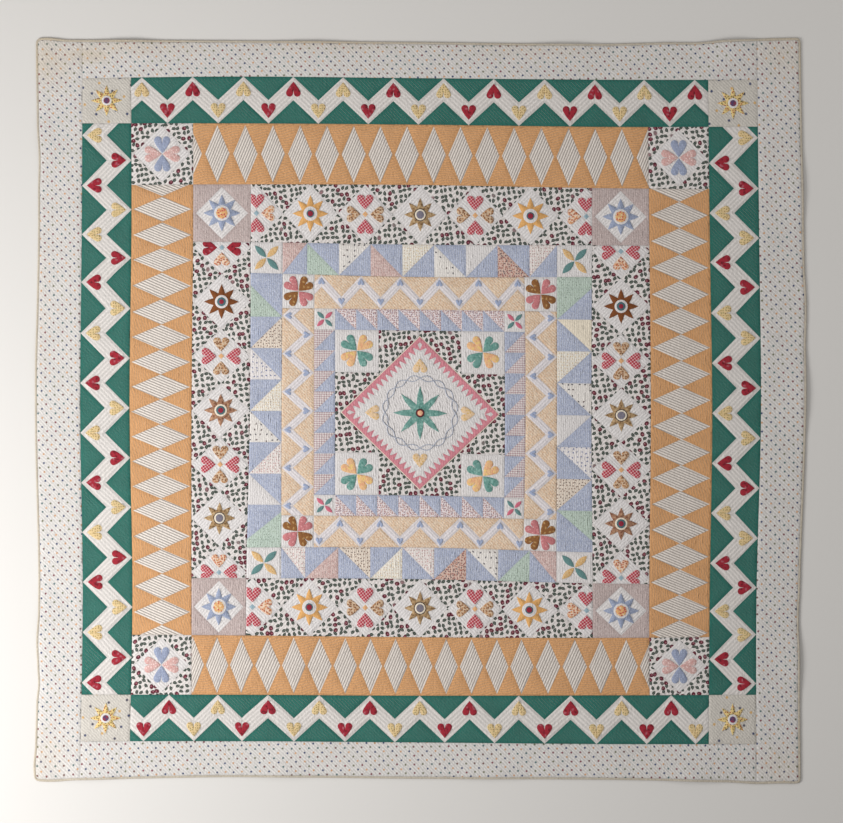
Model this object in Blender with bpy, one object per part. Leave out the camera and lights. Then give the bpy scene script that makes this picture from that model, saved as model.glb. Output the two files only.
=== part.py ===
"""A patchwork and applique sampler quilt, laid flat with its face up.

The quilt is a framed medallion: a centre square inside seven borders, each with four corner blocks, and a
narrow binding round the whole. Every panel is its own closed solid. Its underside is flat on the ground, and
its top dips along the seams and rises over each patch. The seams stray a little, as hand-sewn ones do, and
the outer border lifts off the ground in a few soft ripples.

Lengths are in millimetres in the quilt's plane, x to the right and y towards its head, measured from the
middle of the centre square's frame. The model itself is in metres.
"""
import math
from collections import namedtuple

import bpy
from mathutils.geometry import delaunay_2d_cdt

METRES_PER_MM = 0.001

# How wide each border is on its four sides, from the outside in. The outer one includes the binding.
Border = namedtuple("Border", "name left right top bottom")
BORDERS = (
    Border("outer", 141, 135, 116, 114),
    Border("green", 152, 150, 143, 148),
    Border("orange", 190, 187, 190, 183),
    Border("star", 176, 177, 178, 172),
    Border("blue", 103, 109, 98, 98),
    Border("yellow", 101, 100, 106, 98),
    Border("tooth", 62, 64, 65, 65),
)
CENTRE_LEFT = -259
CENTRE_RIGHT = 265
CENTRE_TOP = 247
CENTRE_BOTTOM = -267

# The whole quilt is moved by this much, so that its bounding box stands over the origin.
MOVE_X = -5.7
MOVE_Y = 1.6

# Heights of the top face above the underside.
SEAM_HEIGHT = 4.0  # along the seams between panels
PATCH_SEAM_HEIGHT = 4.4  # along the seams inside a panel
CROWN = 6.0  # over the middle of a patch
SMALL_CROWN = 5.4  # over the middle of a small patch

GAP = 0.3  # between neighbouring panels
MITRE_GAP = 0.5  # between the binding's mitred ends
BINDING_WIDTH = 7.0
CORNER_RADIUS = 14.0
RIM_STEP = 75.0  # longest straight piece of a panel's rim

# The binding's section: how far in from the outer edge, and how high.
BINDING_INNER = BINDING_WIDTH - GAP / 2
BINDING_PROFILE = ((0.5, 0.0), (0.0, 2.2), (1.9, 4.7), (BINDING_INNER, SEAM_HEIGHT), (BINDING_INNER, 0.0))
BINDING_END_STEPS = (3.0, 7.0 + GAP / 2)  # extra stations that round the corners

# The patchwork's proportions.
GREEN_BAND_SHARE = 0.5  # the white zigzag's upright thickness, as a share of the border's width
YELLOW_BAND_SHARE = 0.31
DIAMOND_WIDTH_SHARE = 0.91  # of the distance between diamonds
DIAMOND_MARGIN = 9.0
STAR_SQUARES = 7
STAR_END = 18.6  # from the border's end to the middle of its first square
TOOTH_COUNT = 8
ON_POINT_MARGIN = 8.0  # from a corner block's seam to the tip of its square on point
GROUND_CROWN_SHARES = (0.15, 0.85)  # where the ground between diamonds or squares rises, across the border
FLAT_SHARE = 0.5  # how much of a large square's crown is level
DIAMOND_TIP_MARGIN = 16.0  # from the centre square's edge to the tip of the medallion
MEDALLION_EDGING = 30.0  # depth of the toothed edging round the medallion
RING_RADIUS = 109.0  # the cable ring round the medallion's star
STAR_RADIUS = 62.0
RING_SIDES = 12
MEDALLION_FLAT_SHARE = 0.85  # how much of the medallion's white ground is level
PRINT_CROWN_SHARES = (0.3, 0.35)  # where the centre's print triangles rise: past the square, and along it

# How the zigzags fit each side: their periods, and the first outer tip's place from the side's start.
Zigzag = namedtuple("Zigzag", "side periods first_tip")
GREEN_ZIGZAGS = (
    Zigzag("top", 11.48, 33),
    Zigzag("bottom", 11.54, 42),
    Zigzag("left", 11.48, 37),
    Zigzag("right", 11.45, 34),
)
YELLOW_ZIGZAGS = (
    Zigzag("top", 5.35, 21),
    Zigzag("bottom", 5.23, 15),
    Zigzag("left", 5.45, 23),
    Zigzag("right", 5.37, 21),
)
# How many diamonds each side of the orange border holds, with a half one at each end for one of them.
DIAMOND_COUNTS = {"top": 17, "bottom": 18, "left": 18, "right": 17}

# The halved squares of the blue border. A coping strip may stand before the first square, and before and
# after the last one, and the squares between are even.
HalfSquares = namedtuple("HalfSquares", "side first_coping first between last_coping last end_coping")
HALF_SQUARES = (
    HalfSquares("top", 0, 77, 7, 0, 84, 0),
    HalfSquares("bottom", 0, 74, 7, 0, 81, 0),
    HalfSquares("left", 37, 96, 6, 22, 84, 25),
    HalfSquares("right", 34, 96, 6, 0, 93, 34),
)

# How far each seam strays from straight, at five evenly spaced places along the quilt. Upright seams are
# read from the head to the foot, and a positive value lies to the right. Level seams are read from left to
# right, and a positive value lies nearer the head.
Stray = namedtuple("Stray", "seam first second third fourth fifth")
UPRIGHT_STRAY = (
    Stray("left outer edge", -2, 5, -5, 6, -6),
    Stray("outer to green, left", 2, 0, -5, 3, -5),
    Stray("green to orange, left", 0, 2, -4, 5, -5),
    Stray("orange to star, left", 2, 3, -2, -2, -2),
    Stray("star to blue, left", 3, 5, 3, -9, -9),
    Stray("blue to yellow, left", 2, 2, -2, -3, -3),
    Stray("yellow to tooth, left", 2, 0, -3, -3, -3),
    Stray("tooth to centre, left", 0, 0, 1, 0, 0),
    Stray("centre to tooth, right", -2, -2, 3, -3, -3),
    Stray("tooth to yellow, right", -2, -2, 3, -6, -6),
    Stray("yellow to blue, right", 0, 0, 0, -2, -2),
    Stray("blue to star, right", -2, 0, -2, 2, 2),
    Stray("star to orange, right", -6, 0, 5, 0, 3),
    Stray("orange to green, right", -5, 0, 8, 0, -3),
    Stray("green to outer, right", -3, 3, 9, -5, -5),
    Stray("right outer edge", -3, 8, 14, -5, -3),
)
LEVEL_STRAY = (
    Stray("top outer edge", 6, 3, -2, -7, 12),
    Stray("outer to green, top", 0, 7, 2, -3, -3),
    Stray("green to orange, top", 5, 5, 1, -6, -5),
    Stray("orange to star, top", 2, 6, 4, -6, -9),
    Stray("star to blue, top", 6, 6, -3, -5, -8),
    Stray("blue to yellow, top", 14, 9, -5, -5, -5),
    Stray("yellow to tooth, top", 8, 6, 0, -8, -8),
    Stray("tooth to centre, top", 8, 6, 0, -8, -9),
    Stray("centre to tooth, bottom", 6, 6, 3, -11, -11),
    Stray("tooth to yellow, bottom", 8, 8, 2, -9, -11),
    Stray("yellow to blue, bottom", 5, 5, 5, -11, -12),
    Stray("blue to star, bottom", 6, 8, 5, -9, -11),
    Stray("star to orange, bottom", 5, 3, -3, -5, 0),
    Stray("orange to green, bottom", 2, 2, -1, 0, 2),
    Stray("green to outer, bottom", 5, 6, 2, -3, -3),
    Stray("bottom outer edge", -3, 8, 3, 0, -12),
)

# Short waves in the outline: the side, where along it, how far they reach and how far they push outwards.
Wave = namedtuple("Wave", "side along reach push")
OUTLINE_WAVES = (
    Wave("top", -1150, 70, 6),
    Wave("top", 870, 110, -4),
    Wave("left", 780, 110, -4),
    Wave("left", -720, 90, 5),
    Wave("left", -850, 60, -4),
    Wave("left", -1100, 60, 4),
    Wave("right", 330, 130, 4),
    Wave("right", -650, 120, -3),
    Wave("bottom", 1050, 90, 3),
    Wave("bottom", -1130, 80, 4),
)

# Soft ripples that lift the outer border off the ground: the side, where along it, reach and height.
Ripple = namedtuple("Ripple", "side along reach height")
RIPPLES = (
    Ripple("top", -900, 120, 5.0),
    Ripple("top", -330, 160, 3.5),
    Ripple("top", 450, 150, 4.5),
    Ripple("top", 960, 110, 6.0),
    Ripple("bottom", -1010, 120, 5.0),
    Ripple("bottom", -420, 150, 4.0),
    Ripple("bottom", 230, 160, 3.5),
    Ripple("bottom", 860, 130, 5.5),
    Ripple("left", 820, 140, 4.5),
    Ripple("left", 150, 150, 4.0),
    Ripple("left", -640, 120, 5.5),
    Ripple("right", 700, 130, 4.0),
    Ripple("right", 60, 160, 5.5),
    Ripple("right", -780, 140, 4.5),
)

SIDES = ("top", "bottom", "left", "right")
CORNERS = ("top_left", "top_right", "bottom_left", "bottom_right")

# A plain cloth colour for each kind of panel, as red, green and blue shares, and its roughness.
Cloth = namedtuple("Cloth", "red green blue roughness")
CLOTHS = {
    "binding": Cloth(0.62, 0.59, 0.52, 0.85),
    "outer": Cloth(0.60, 0.57, 0.53, 0.85),
    "green": Cloth(0.03, 0.19, 0.12, 0.85),
    "orange": Cloth(0.66, 0.36, 0.12, 0.85),
    "star": Cloth(0.40, 0.36, 0.34, 0.85),
    "blue": Cloth(0.34, 0.38, 0.55, 0.85),
    "yellow": Cloth(0.66, 0.50, 0.29, 0.85),
    "tooth": Cloth(0.45, 0.40, 0.52, 0.85),
    "centre": Cloth(0.68, 0.62, 0.60, 0.85),
    "block": Cloth(0.64, 0.61, 0.58, 0.85),
    "lilac": Cloth(0.48, 0.40, 0.38, 0.85),
}


def seam_positions():
    """The straight places of the upright seams, left to right, and of the level seams, head to foot."""
    lefts = [CENTRE_LEFT]
    rights = [CENTRE_RIGHT]
    tops = [CENTRE_TOP]
    bottoms = [CENTRE_BOTTOM]
    for border in reversed(BORDERS):
        lefts.append(lefts[-1] - border.left)
        rights.append(rights[-1] + border.right)
        tops.append(tops[-1] + border.top)
        bottoms.append(bottoms[-1] - border.bottom)
    return lefts[::-1] + rights, tops[::-1] + bottoms


UPRIGHT_SEAMS, LEVEL_SEAMS = seam_positions()
LAST_SEAM = len(UPRIGHT_SEAMS) - 1
LEFT_EDGE, RIGHT_EDGE = UPRIGHT_SEAMS[0], UPRIGHT_SEAMS[LAST_SEAM]
TOP_EDGE, BOTTOM_EDGE = LEVEL_SEAMS[0], LEVEL_SEAMS[LAST_SEAM]


def rim_stops(seams):
    """Places along one axis where the rims of neighbouring panels both have a point."""
    low, high = min(seams), max(seams)
    inner_low, inner_high = sorted((seams[1], seams[-2]))
    fixed = [low + CORNER_RADIUS, high - CORNER_RADIUS, inner_low + GAP / 2, inner_high - GAP / 2]
    stops = list(fixed)
    for number in range(math.ceil(low / RIM_STEP), math.floor(high / RIM_STEP) + 1):
        stop = number * RIM_STEP
        if all(abs(stop - other) > RIM_STEP / 4 for other in fixed + [low, high]):
            stops.append(stop)
    return sorted(stops)


RIM_STOPS = (rim_stops(UPRIGHT_SEAMS), rim_stops(LEVEL_SEAMS))


def smooth_between(values, place):
    """A smooth curve through evenly spaced values, read at place, which counts from 0 at the first."""
    last = len(values) - 1
    place = min(max(place, 0.0), float(last))
    index = min(int(place), last - 1)
    share = place - index
    before, here = values[max(index - 1, 0)], values[index]
    there, after = values[index + 1], values[min(index + 2, last)]
    return 0.5 * (
        2 * here
        + (there - before) * share
        + (2 * before - 5 * here + 4 * there - after) * share ** 2
        + (3 * here - before - 3 * there + after) * share ** 3
    )


def bell(distance, reach):
    """A smooth bump that is 1 at its middle and 0 at its reach."""
    share = min(abs(distance) / reach, 1.0)
    return 0.5 + 0.5 * math.cos(math.pi * share)


def stray_at(across, along, seams, strays):
    """How far a point strays with the two seams on either side of it, at place along from 0 to 4."""
    rising = seams[0] < seams[-1]
    index = 0
    while index < LAST_SEAM - 1 and (across > seams[index + 1]) == rising:
        index += 1
    share = (across - seams[index]) / (seams[index + 1] - seams[index])
    share = min(max(share, 0.0), 1.0)
    first = smooth_between(strays[index][1:], along)
    second = smooth_between(strays[index + 1][1:], along)
    return first + share * (second - first)


def from_side(side, x, y):
    """How far a point lies in from a side of the quilt, and its place along that side."""
    if side == "left":
        return x - LEFT_EDGE, y
    if side == "right":
        return RIGHT_EDGE - x, y
    if side == "top":
        return TOP_EDGE - y, x
    return y - BOTTOM_EDGE, x


OUTWARDS = {"left": (-1, 0), "right": (1, 0), "top": (0, 1), "bottom": (0, -1)}
EDGE_REACH = 110.0  # how far in from the edge the waves and ripples are felt


def round_corner(x, y):
    """Draws the quilt's four corners in to a quarter circle."""
    for edge_x in (LEFT_EDGE, RIGHT_EDGE):
        for edge_y in (TOP_EDGE, BOTTOM_EDGE):
            centre_x = edge_x - math.copysign(CORNER_RADIUS, edge_x)
            centre_y = edge_y - math.copysign(CORNER_RADIUS, edge_y)
            out_x = (x - centre_x) * math.copysign(1, edge_x)
            out_y = (y - centre_y) * math.copysign(1, edge_y)
            if out_x > 0 and out_y > 0:
                pull = max(out_x, out_y) / math.hypot(out_x, out_y)
                return centre_x + (x - centre_x) * pull, centre_y + (y - centre_y) * pull
    return x, y


def lie(x, y):
    """Where a point of the straight layout lies on the real, slightly uneven quilt, in millimetres."""
    down = 4 * (TOP_EDGE - y) / (TOP_EDGE - BOTTOM_EDGE)
    right = 4 * (x - LEFT_EDGE) / (RIGHT_EDGE - LEFT_EDGE)
    shift_x = stray_at(x, down, UPRIGHT_SEAMS, UPRIGHT_STRAY)
    shift_y = stray_at(y, right, LEVEL_SEAMS, LEVEL_STRAY)
    for wave in OUTLINE_WAVES:
        inwards, along = from_side(wave.side, x, y)
        push = wave.push * bell(along - wave.along, wave.reach) * max(0.0, 1 - inwards / EDGE_REACH)
        shift_x += OUTWARDS[wave.side][0] * push
        shift_y += OUTWARDS[wave.side][1] * push
    x, y = round_corner(x, y)
    return x + shift_x + MOVE_X, y + shift_y + MOVE_Y


def lift(x, y):
    """How far the quilt is off the ground at a point of the straight layout."""
    height = 0.0
    for ripple in RIPPLES:
        inwards, along = from_side(ripple.side, x, y)
        height += ripple.height * bell(along - ripple.along, ripple.reach) * bell(inwards, EDGE_REACH)
    return height


class Frame:
    """A panel's own rectangle, with s along it and t across it from its outer seam inwards."""

    def __init__(self, length, width, start, along, across):
        self.length = length
        self.width = width
        self.start = start
        self.along = along
        self.across = across

    def place(self, s, t):
        """The point of the straight layout at s and t."""
        x = self.start[0] + self.along[0] * s + self.across[0] * t
        y = self.start[1] + self.along[1] * s + self.across[1] * t
        return x, y

    def turns_over(self):
        """Whether s and t run the other way round from x and y."""
        return self.along[0] * self.across[1] - self.along[1] * self.across[0] < 0


def strip_frame(ring, side):
    """The frame of one side of a border. The outer border's sides run its full height."""
    left, right = UPRIGHT_SEAMS[ring], UPRIGHT_SEAMS[LAST_SEAM - ring]
    top, bottom = LEVEL_SEAMS[ring], LEVEL_SEAMS[LAST_SEAM - ring]
    inner_left, inner_right = UPRIGHT_SEAMS[ring + 1], UPRIGHT_SEAMS[LAST_SEAM - ring - 1]
    inner_top, inner_bottom = LEVEL_SEAMS[ring + 1], LEVEL_SEAMS[LAST_SEAM - ring - 1]
    full = ring == 0
    tooth = ring == len(BORDERS) - 1
    border = BORDERS[ring]
    if side in ("top", "bottom"):
        s_from, s_to = (left, right) if tooth else (inner_left, inner_right)
        start_y, turn = (top, -1) if side == "top" else (bottom, 1)
        width = border.top if side == "top" else border.bottom
        return Frame(s_to - s_from, width, (s_from, start_y), (1, 0), (0, turn))
    s_from, s_to = (top, bottom) if full else (inner_top, inner_bottom)
    start_x, turn = (left, 1) if side == "left" else (right, -1)
    width = border.left if side == "left" else border.right
    return Frame(s_from - s_to, width, (start_x, s_from), (0, -1), (turn, 0))


def corner_frame(ring, corner):
    """The frame of a border's corner block, starting at the block's outer corner."""
    upright, level = corner.split("_")[1], corner.split("_")[0]
    border = BORDERS[ring]
    start_x = UPRIGHT_SEAMS[ring] if upright == "left" else UPRIGHT_SEAMS[LAST_SEAM - ring]
    start_y = LEVEL_SEAMS[ring] if level == "top" else LEVEL_SEAMS[LAST_SEAM - ring]
    along = (1, 0) if upright == "left" else (-1, 0)
    across = (0, -1) if level == "top" else (0, 1)
    return Frame(getattr(border, upright), getattr(border, level), (start_x, start_y), along, across)


def clip(polygon, low_s, high_s, low_t, high_t):
    """The part of a polygon inside a rectangle."""
    for axis, limit, keeps_more in ((0, low_s, True), (0, high_s, False), (1, low_t, True), (1, high_t, False)):
        kept = []
        for here, there in zip(polygon, polygon[1:] + polygon[:1]):
            here_in = here[axis] >= limit if keeps_more else here[axis] <= limit
            there_in = there[axis] >= limit if keeps_more else there[axis] <= limit
            if here_in:
                kept.append(here)
            if here_in != there_in:
                share = (limit - here[axis]) / (there[axis] - here[axis])
                crossing = [here[i] + share * (there[i] - here[i]) for i in (0, 1)]
                crossing[axis] = limit
                kept.append(tuple(crossing))
        polygon = kept
    return polygon


def polygon_area(polygon):
    """The area of a polygon."""
    pairs = zip(polygon, polygon[1:] + polygon[:1])
    return 0.5 * abs(sum(a[0] * b[1] - b[0] * a[1] for a, b in pairs))


SMALLEST_PATCH = 60.0  # in square millimetres: a smaller corner of a patch isn't modelled
SAME_POINT = 0.05  # points nearer than this are one


class Panel:
    """One panel's face, laid out in its frame as points with heights and the seams that join them."""

    def __init__(self, name, cloth, frame, outline=None):
        self.name = name
        self.cloth = cloth
        self.frame = frame
        half = GAP / 2
        self.low_s, self.high_s = half, frame.length - half
        self.low_t, self.high_t = half, frame.width - half
        self.outline = outline or [
            (self.low_s, self.low_t), (self.high_s, self.low_t),
            (self.high_s, self.high_t), (self.low_s, self.high_t),
        ]
        self.points = []
        self.heights = []
        self.seams = set()
        self.grid = {}

    def point(self, s, t, height):
        """The number of the point at s and t, added if it is new. The lower height wins."""
        key = (round(s / SAME_POINT), round(t / SAME_POINT))
        for near in ((key[0] + i, key[1] + j) for i in (0, -1, 1) for j in (0, -1, 1)):
            if near in self.grid:
                number = self.grid[near]
                self.heights[number] = min(self.heights[number], height)
                return number
        self.grid[key] = len(self.points)
        self.points.append((s, t))
        self.heights.append(height)
        return len(self.points) - 1

    def seam(self, here, there):
        """A line that the mesh keeps between two points."""
        if here != there:
            self.seams.add((min(here, there), max(here, there)))

    def patch(self, polygon, crown, flat_share=0.0):
        """A patch: its edges are low and its middle is high, over a flat share of its size."""
        polygon = clip(list(polygon), self.low_s, self.high_s, self.low_t, self.high_t)
        if len(polygon) < 3 or polygon_area(polygon) < SMALLEST_PATCH:
            return
        numbers = [self.point(s, t, PATCH_SEAM_HEIGHT) for s, t in polygon]
        for here, there in zip(numbers, numbers[1:] + numbers[:1]):
            self.seam(here, there)
        middle_s = sum(s for s, _ in polygon) / len(polygon)
        middle_t = sum(t for _, t in polygon) / len(polygon)
        if flat_share:
            for s, t in polygon:
                self.point(middle_s + flat_share * (s - middle_s), middle_t + flat_share * (t - middle_t), crown)
        else:
            self.point(middle_s, middle_t, crown)

    def crest(self, line, height):
        """A ridge along a line of points, left out where it would leave the panel."""
        inside = [
            (s, t) for s, t in line
            if self.low_s < s < self.high_s and self.low_t < t < self.high_t
        ]
        numbers = [self.point(s, t, height) for s, t in inside]
        for here, there in zip(numbers, numbers[1:]):
            self.seam(here, there)

    def rim(self, every_stop):
        """The numbers of the points round the panel, in order, all at seam height."""
        ordered = []
        for here, there in zip(self.outline, self.outline[1:] + self.outline[:1]):
            length = math.hypot(there[0] - here[0], there[1] - here[1])
            direction = ((there[0] - here[0]) / length, (there[1] - here[1]) / length)
            on_side = {0.0: here}
            for s, t in self.points:
                along = (s - here[0]) * direction[0] + (t - here[1]) * direction[1]
                aside = (s - here[0]) * direction[1] - (t - here[1]) * direction[0]
                if abs(aside) < SAME_POINT and SAME_POINT < along < length - SAME_POINT:
                    on_side[along] = (s, t)
            clearance = SAME_POINT if every_stop else RIM_STEP / 4
            for along in self.rim_steps(here, direction, length):
                if all(abs(along - other) > clearance for other in list(on_side) + [length]):
                    on_side[along] = (here[0] + direction[0] * along, here[1] + direction[1] * along)
            ordered += [on_side[along] for along in sorted(on_side)]
        return [self.point(s, t, SEAM_HEIGHT) for s, t in ordered]

    def rim_steps(self, here, direction, length):
        """Places along one side of the rim that neighbouring panels share, a rim step apart."""
        start = self.frame.place(*here)
        end = self.frame.place(here[0] + direction[0] * length, here[1] + direction[1] * length)
        axis = 0 if abs(end[0] - start[0]) > abs(end[1] - start[1]) else 1
        span = end[axis] - start[axis]
        low, high = sorted((start[axis], end[axis]))
        stops = [stop for stop in RIM_STOPS[axis] if low < stop < high]
        return [(stop - start[axis]) / span * length for stop in stops]

    def build(self, lifts=False):
        """Makes the panel's closed solid."""
        rim = self.rim(every_stop=lifts)
        result = delaunay_2d_cdt(self.points, sorted(self.seams), [rim], 1, SAME_POINT / 10)
        flat_points, _, triangles, sources = result[0], result[1], result[2], result[3]
        top = []
        for flat, source in zip(flat_points, sources):
            height = self.heights[source[0]] if source else PATCH_SEAM_HEIGHT
            top.append(self.solid_point(flat[0], flat[1], height, lifts))
        number_of = {source: number for number, group in enumerate(sources) for source in group}
        rim = [number_of[number] for number in rim]
        faces = [tuple(face) for face in triangles]
        vertices = list(top)
        if lifts:
            underside = [self.solid_point(flat[0], flat[1], 0.0, lifts) for flat in flat_points]
            shift = len(top)
            faces += [tuple(shift + corner for corner in reversed(face)) for face in triangles]
            under = {number: shift + number for number in rim}
            vertices += underside
        else:
            under = {}
            for number in rim:
                under[number] = len(vertices)
                vertices.append((top[number][0], top[number][1], 0.0))
            faces.append(tuple(under[number] for number in reversed(rim)))
        for here, there in zip(rim, rim[1:] + rim[:1]):
            faces.append((there, here, under[here], under[there]))
        if self.frame.turns_over():
            faces = [tuple(reversed(face)) for face in faces]
        return add_solid(self.name, self.cloth, vertices, faces)

    def solid_point(self, s, t, height, lifts):
        """A point of the solid in metres."""
        x, y = self.frame.place(s, t)
        if lifts:
            height += lift(x, y)
        real_x, real_y = lie(x, y)
        return real_x * METRES_PER_MM, real_y * METRES_PER_MM, height * METRES_PER_MM


def add_solid(name, cloth, vertices, faces):
    """Adds one object with its own material."""
    mesh = bpy.data.meshes.new(name)
    mesh.from_pydata(vertices, [], faces)
    mesh.validate()
    material = bpy.data.materials.new(name + "_cloth")
    material.use_nodes = True
    shader = material.node_tree.nodes["Principled BSDF"]
    finish = CLOTHS[cloth]
    shader.inputs["Base Color"].default_value = (finish.red, finish.green, finish.blue, 1.0)
    shader.inputs["Roughness"].default_value = finish.roughness
    shader.inputs["Metallic"].default_value = 0.0
    mesh.materials.append(material)
    solid = bpy.data.objects.new(name, mesh)
    bpy.context.scene.collection.objects.link(solid)
    return solid


def row_for(side, rows):
    """The row of a table that holds for one side."""
    return next(row for row in rows if row.side == side)


def draw_zigzag(panel, zigzag, band_share, crown):
    """A zigzag band between two rows of triangles."""
    length, width = panel.frame.length, panel.frame.width
    period = length / zigzag.periods
    depth = width * (1 - band_share)
    tip = zigzag.first_tip - 2 * period
    crest = []
    while tip < length + period:
        middle = tip + period / 2
        panel.patch([(tip, 0), (tip + period, 0), (middle, depth)], crown)
        panel.patch([(tip - period / 2, width), (tip, width - depth), (middle, width)], crown)
        crest += [(tip, (width - depth) / 2), (middle, (width + depth) / 2)]
        tip += period
    panel.crest(crest, crown)


def draw_diamonds(panel, count):
    """A row of tall diamonds with a half one at each end."""
    length, width = panel.frame.length, panel.frame.width
    period = length / count
    half = period * DIAMOND_WIDTH_SHARE / 2
    for number in range(count + 1):
        middle = number * period
        diamond = [
            (middle, DIAMOND_MARGIN), (middle + half, width / 2),
            (middle, width - DIAMOND_MARGIN), (middle - half, width / 2),
        ]
        panel.patch(diamond, CROWN)
        between = middle + period / 2
        for share in GROUND_CROWN_SHARES:
            panel.crest([(between, width * share)], CROWN)


def draw_on_point(panel):
    """Squares on point, tip to tip, with print triangles between them."""
    length, width = panel.frame.length, panel.frame.width
    pitch = (length - 2 * STAR_END) / (STAR_SQUARES - 1)
    for number in range(STAR_SQUARES):
        middle = STAR_END + number * pitch
        square = [(middle, 0), (middle + pitch / 2, width / 2), (middle, width), (middle - pitch / 2, width / 2)]
        panel.patch(square, CROWN)
        between = middle + pitch / 2
        for share in GROUND_CROWN_SHARES:
            panel.crest([(between, width * share)], CROWN)


def draw_rectangle(panel, start, end, crown, flat_share=0.0):
    """A piece that fills the strip from one place along it to another."""
    width = panel.frame.width
    panel.patch([(start, 0), (end, 0), (end, width), (start, width)], crown, flat_share)


def draw_half_square(panel, start, end, rises, crown):
    """A square halved by one of its diagonals."""
    width = panel.frame.width
    if rises:
        panel.patch([(start, 0), (start, width), (end, width)], crown)
        panel.patch([(start, 0), (end, 0), (end, width)], crown)
    else:
        panel.patch([(start, 0), (end, 0), (start, width)], crown)
        panel.patch([(end, 0), (end, width), (start, width)], crown)


def draw_plain(panel, rows, step, crown):
    """A plain piece of cloth, puffed between its seams."""
    across = panel.frame.width
    count = max(1, round(panel.frame.length / step))
    for row in range(rows):
        for number in range(count):
            s = panel.frame.length * (number + 0.5) / count
            panel.crest([(s, across * (row + 0.5) / rows)], crown)


def draw_square_on_point(panel):
    """A corner block with one square on point."""
    length, width = panel.frame.length, panel.frame.width
    edge = ON_POINT_MARGIN
    square = [(length / 2, edge), (length - edge, width / 2), (length / 2, width - edge), (edge, width / 2)]
    panel.patch(square, CROWN, FLAT_SHARE)
    for share_s in GROUND_CROWN_SHARES:
        for share_t in GROUND_CROWN_SHARES:
            panel.crest([(length * share_s, width * share_t)], SMALL_CROWN)


def build_binding(side):
    """One side of the binding: a folded strip with mitred ends, swept along the outer edge."""
    if side in ("left", "right"):
        length, start = TOP_EDGE - BOTTOM_EDGE, (LEFT_EDGE if side == "left" else RIGHT_EDGE, TOP_EDGE)
        along, across = (0, -1), (1 if side == "left" else -1, 0)
    else:
        length, start = RIGHT_EDGE - LEFT_EDGE, (LEFT_EDGE, TOP_EDGE if side == "top" else BOTTOM_EDGE)
        along, across = (1, 0), (0, -1 if side == "top" else 1)
    frame = Frame(length, BINDING_WIDTH, start, along, across)
    guide = Panel("guide", "binding", frame)
    steps = guide.rim_steps((0.0, 0.0), (1.0, 0.0), length)
    steps += list(BINDING_END_STEPS) + [length - step for step in BINDING_END_STEPS]
    stations = [0.0] + sorted(steps) + [length]
    vertices = []
    for station in stations:
        for inwards, height in BINDING_PROFILE:
            mitre = inwards + MITRE_GAP / 2
            s = min(max(station, mitre), length - mitre)
            if station in (0.0, length):
                s = mitre if station == 0.0 else length - mitre
            vertices.append(guide.solid_point(s, inwards, height, True))
    around = len(BINDING_PROFILE)
    faces = []
    for ring in range(len(stations) - 1):
        for corner in range(around):
            here, there = ring * around + corner, ring * around + (corner + 1) % around
            faces.append((here, there, there + around, here + around))
    faces.append(tuple(range(around - 1, -1, -1)))
    last = (len(stations) - 1) * around
    faces.append(tuple(range(last, last + around)))
    if not frame.turns_over():
        faces = [tuple(reversed(face)) for face in faces]
    add_solid("binding_" + side, "binding", vertices, faces)


def build_outer_border():
    """The four plain strips inside the binding."""
    for side in SIDES:
        frame = strip_frame(0, side)
        panel = Panel("outer_" + side, "outer", frame)
        inner = BINDING_WIDTH + GAP / 2
        panel.low_t = inner
        if side in ("left", "right"):
            panel.low_s, panel.high_s = inner, frame.length - inner
        panel.outline = [
            (panel.low_s, panel.low_t), (panel.high_s, panel.low_t),
            (panel.high_s, panel.high_t), (panel.low_s, panel.high_t),
        ]
        draw_plain(panel, 1, RIM_STEP, SMALL_CROWN)
        panel.build(lifts=True)


def build_border(ring, draw, block_cloth, draw_block):
    """The four sides and four corner blocks of a border."""
    name = BORDERS[ring].name
    for side in SIDES:
        panel = Panel(name + "_" + side, name, strip_frame(ring, side))
        draw(panel, side)
        panel.build()
    for corner in CORNERS:
        panel = Panel(name + "_corner_" + corner, block_cloth, corner_frame(ring, corner))
        draw_block(panel)
        panel.build()


def draw_green(panel, side):
    """The green border's zigzag."""
    draw_zigzag(panel, row_for(side, GREEN_ZIGZAGS), GREEN_BAND_SHARE, CROWN)


def draw_orange(panel, side):
    """The orange border's diamonds."""
    draw_diamonds(panel, DIAMOND_COUNTS[side])


def draw_star(panel, side):
    """The star and heart border's squares on point."""
    draw_on_point(panel)


def draw_blue(panel, side):
    """The blue border's halved squares, whose diagonals turn over from one to the next."""
    row = row_for(side, HALF_SQUARES)
    start_between = row.first_coping + row.first
    end_between = panel.frame.length - row.end_coping - row.last - row.last_coping
    even = (end_between - start_between) / row.between
    starts = [row.first_coping] + [start_between + even * number for number in range(row.between)]
    ends = starts[1:] + [end_between]
    starts.append(end_between + row.last_coping)
    ends.append(panel.frame.length - row.end_coping)
    for number, (start, end) in enumerate(zip(starts, ends)):
        draw_half_square(panel, start, end, (number % 2 == 0) == (side in ("left", "right")), CROWN)
    copings = ((0, starts[0]), (ends[-2], starts[-1]), (ends[-1], panel.frame.length))
    for start, end in copings:
        if end > start:
            draw_rectangle(panel, start, end, SMALL_CROWN)


def draw_yellow(panel, side):
    """The yellow border's narrow zigzag."""
    draw_zigzag(panel, row_for(side, YELLOW_ZIGZAGS), YELLOW_BAND_SHARE, SMALL_CROWN)


def draw_small_block(panel):
    """A plain corner block with one soft crown."""
    draw_plain(panel, 2, panel.frame.length / 2, CROWN)


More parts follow.
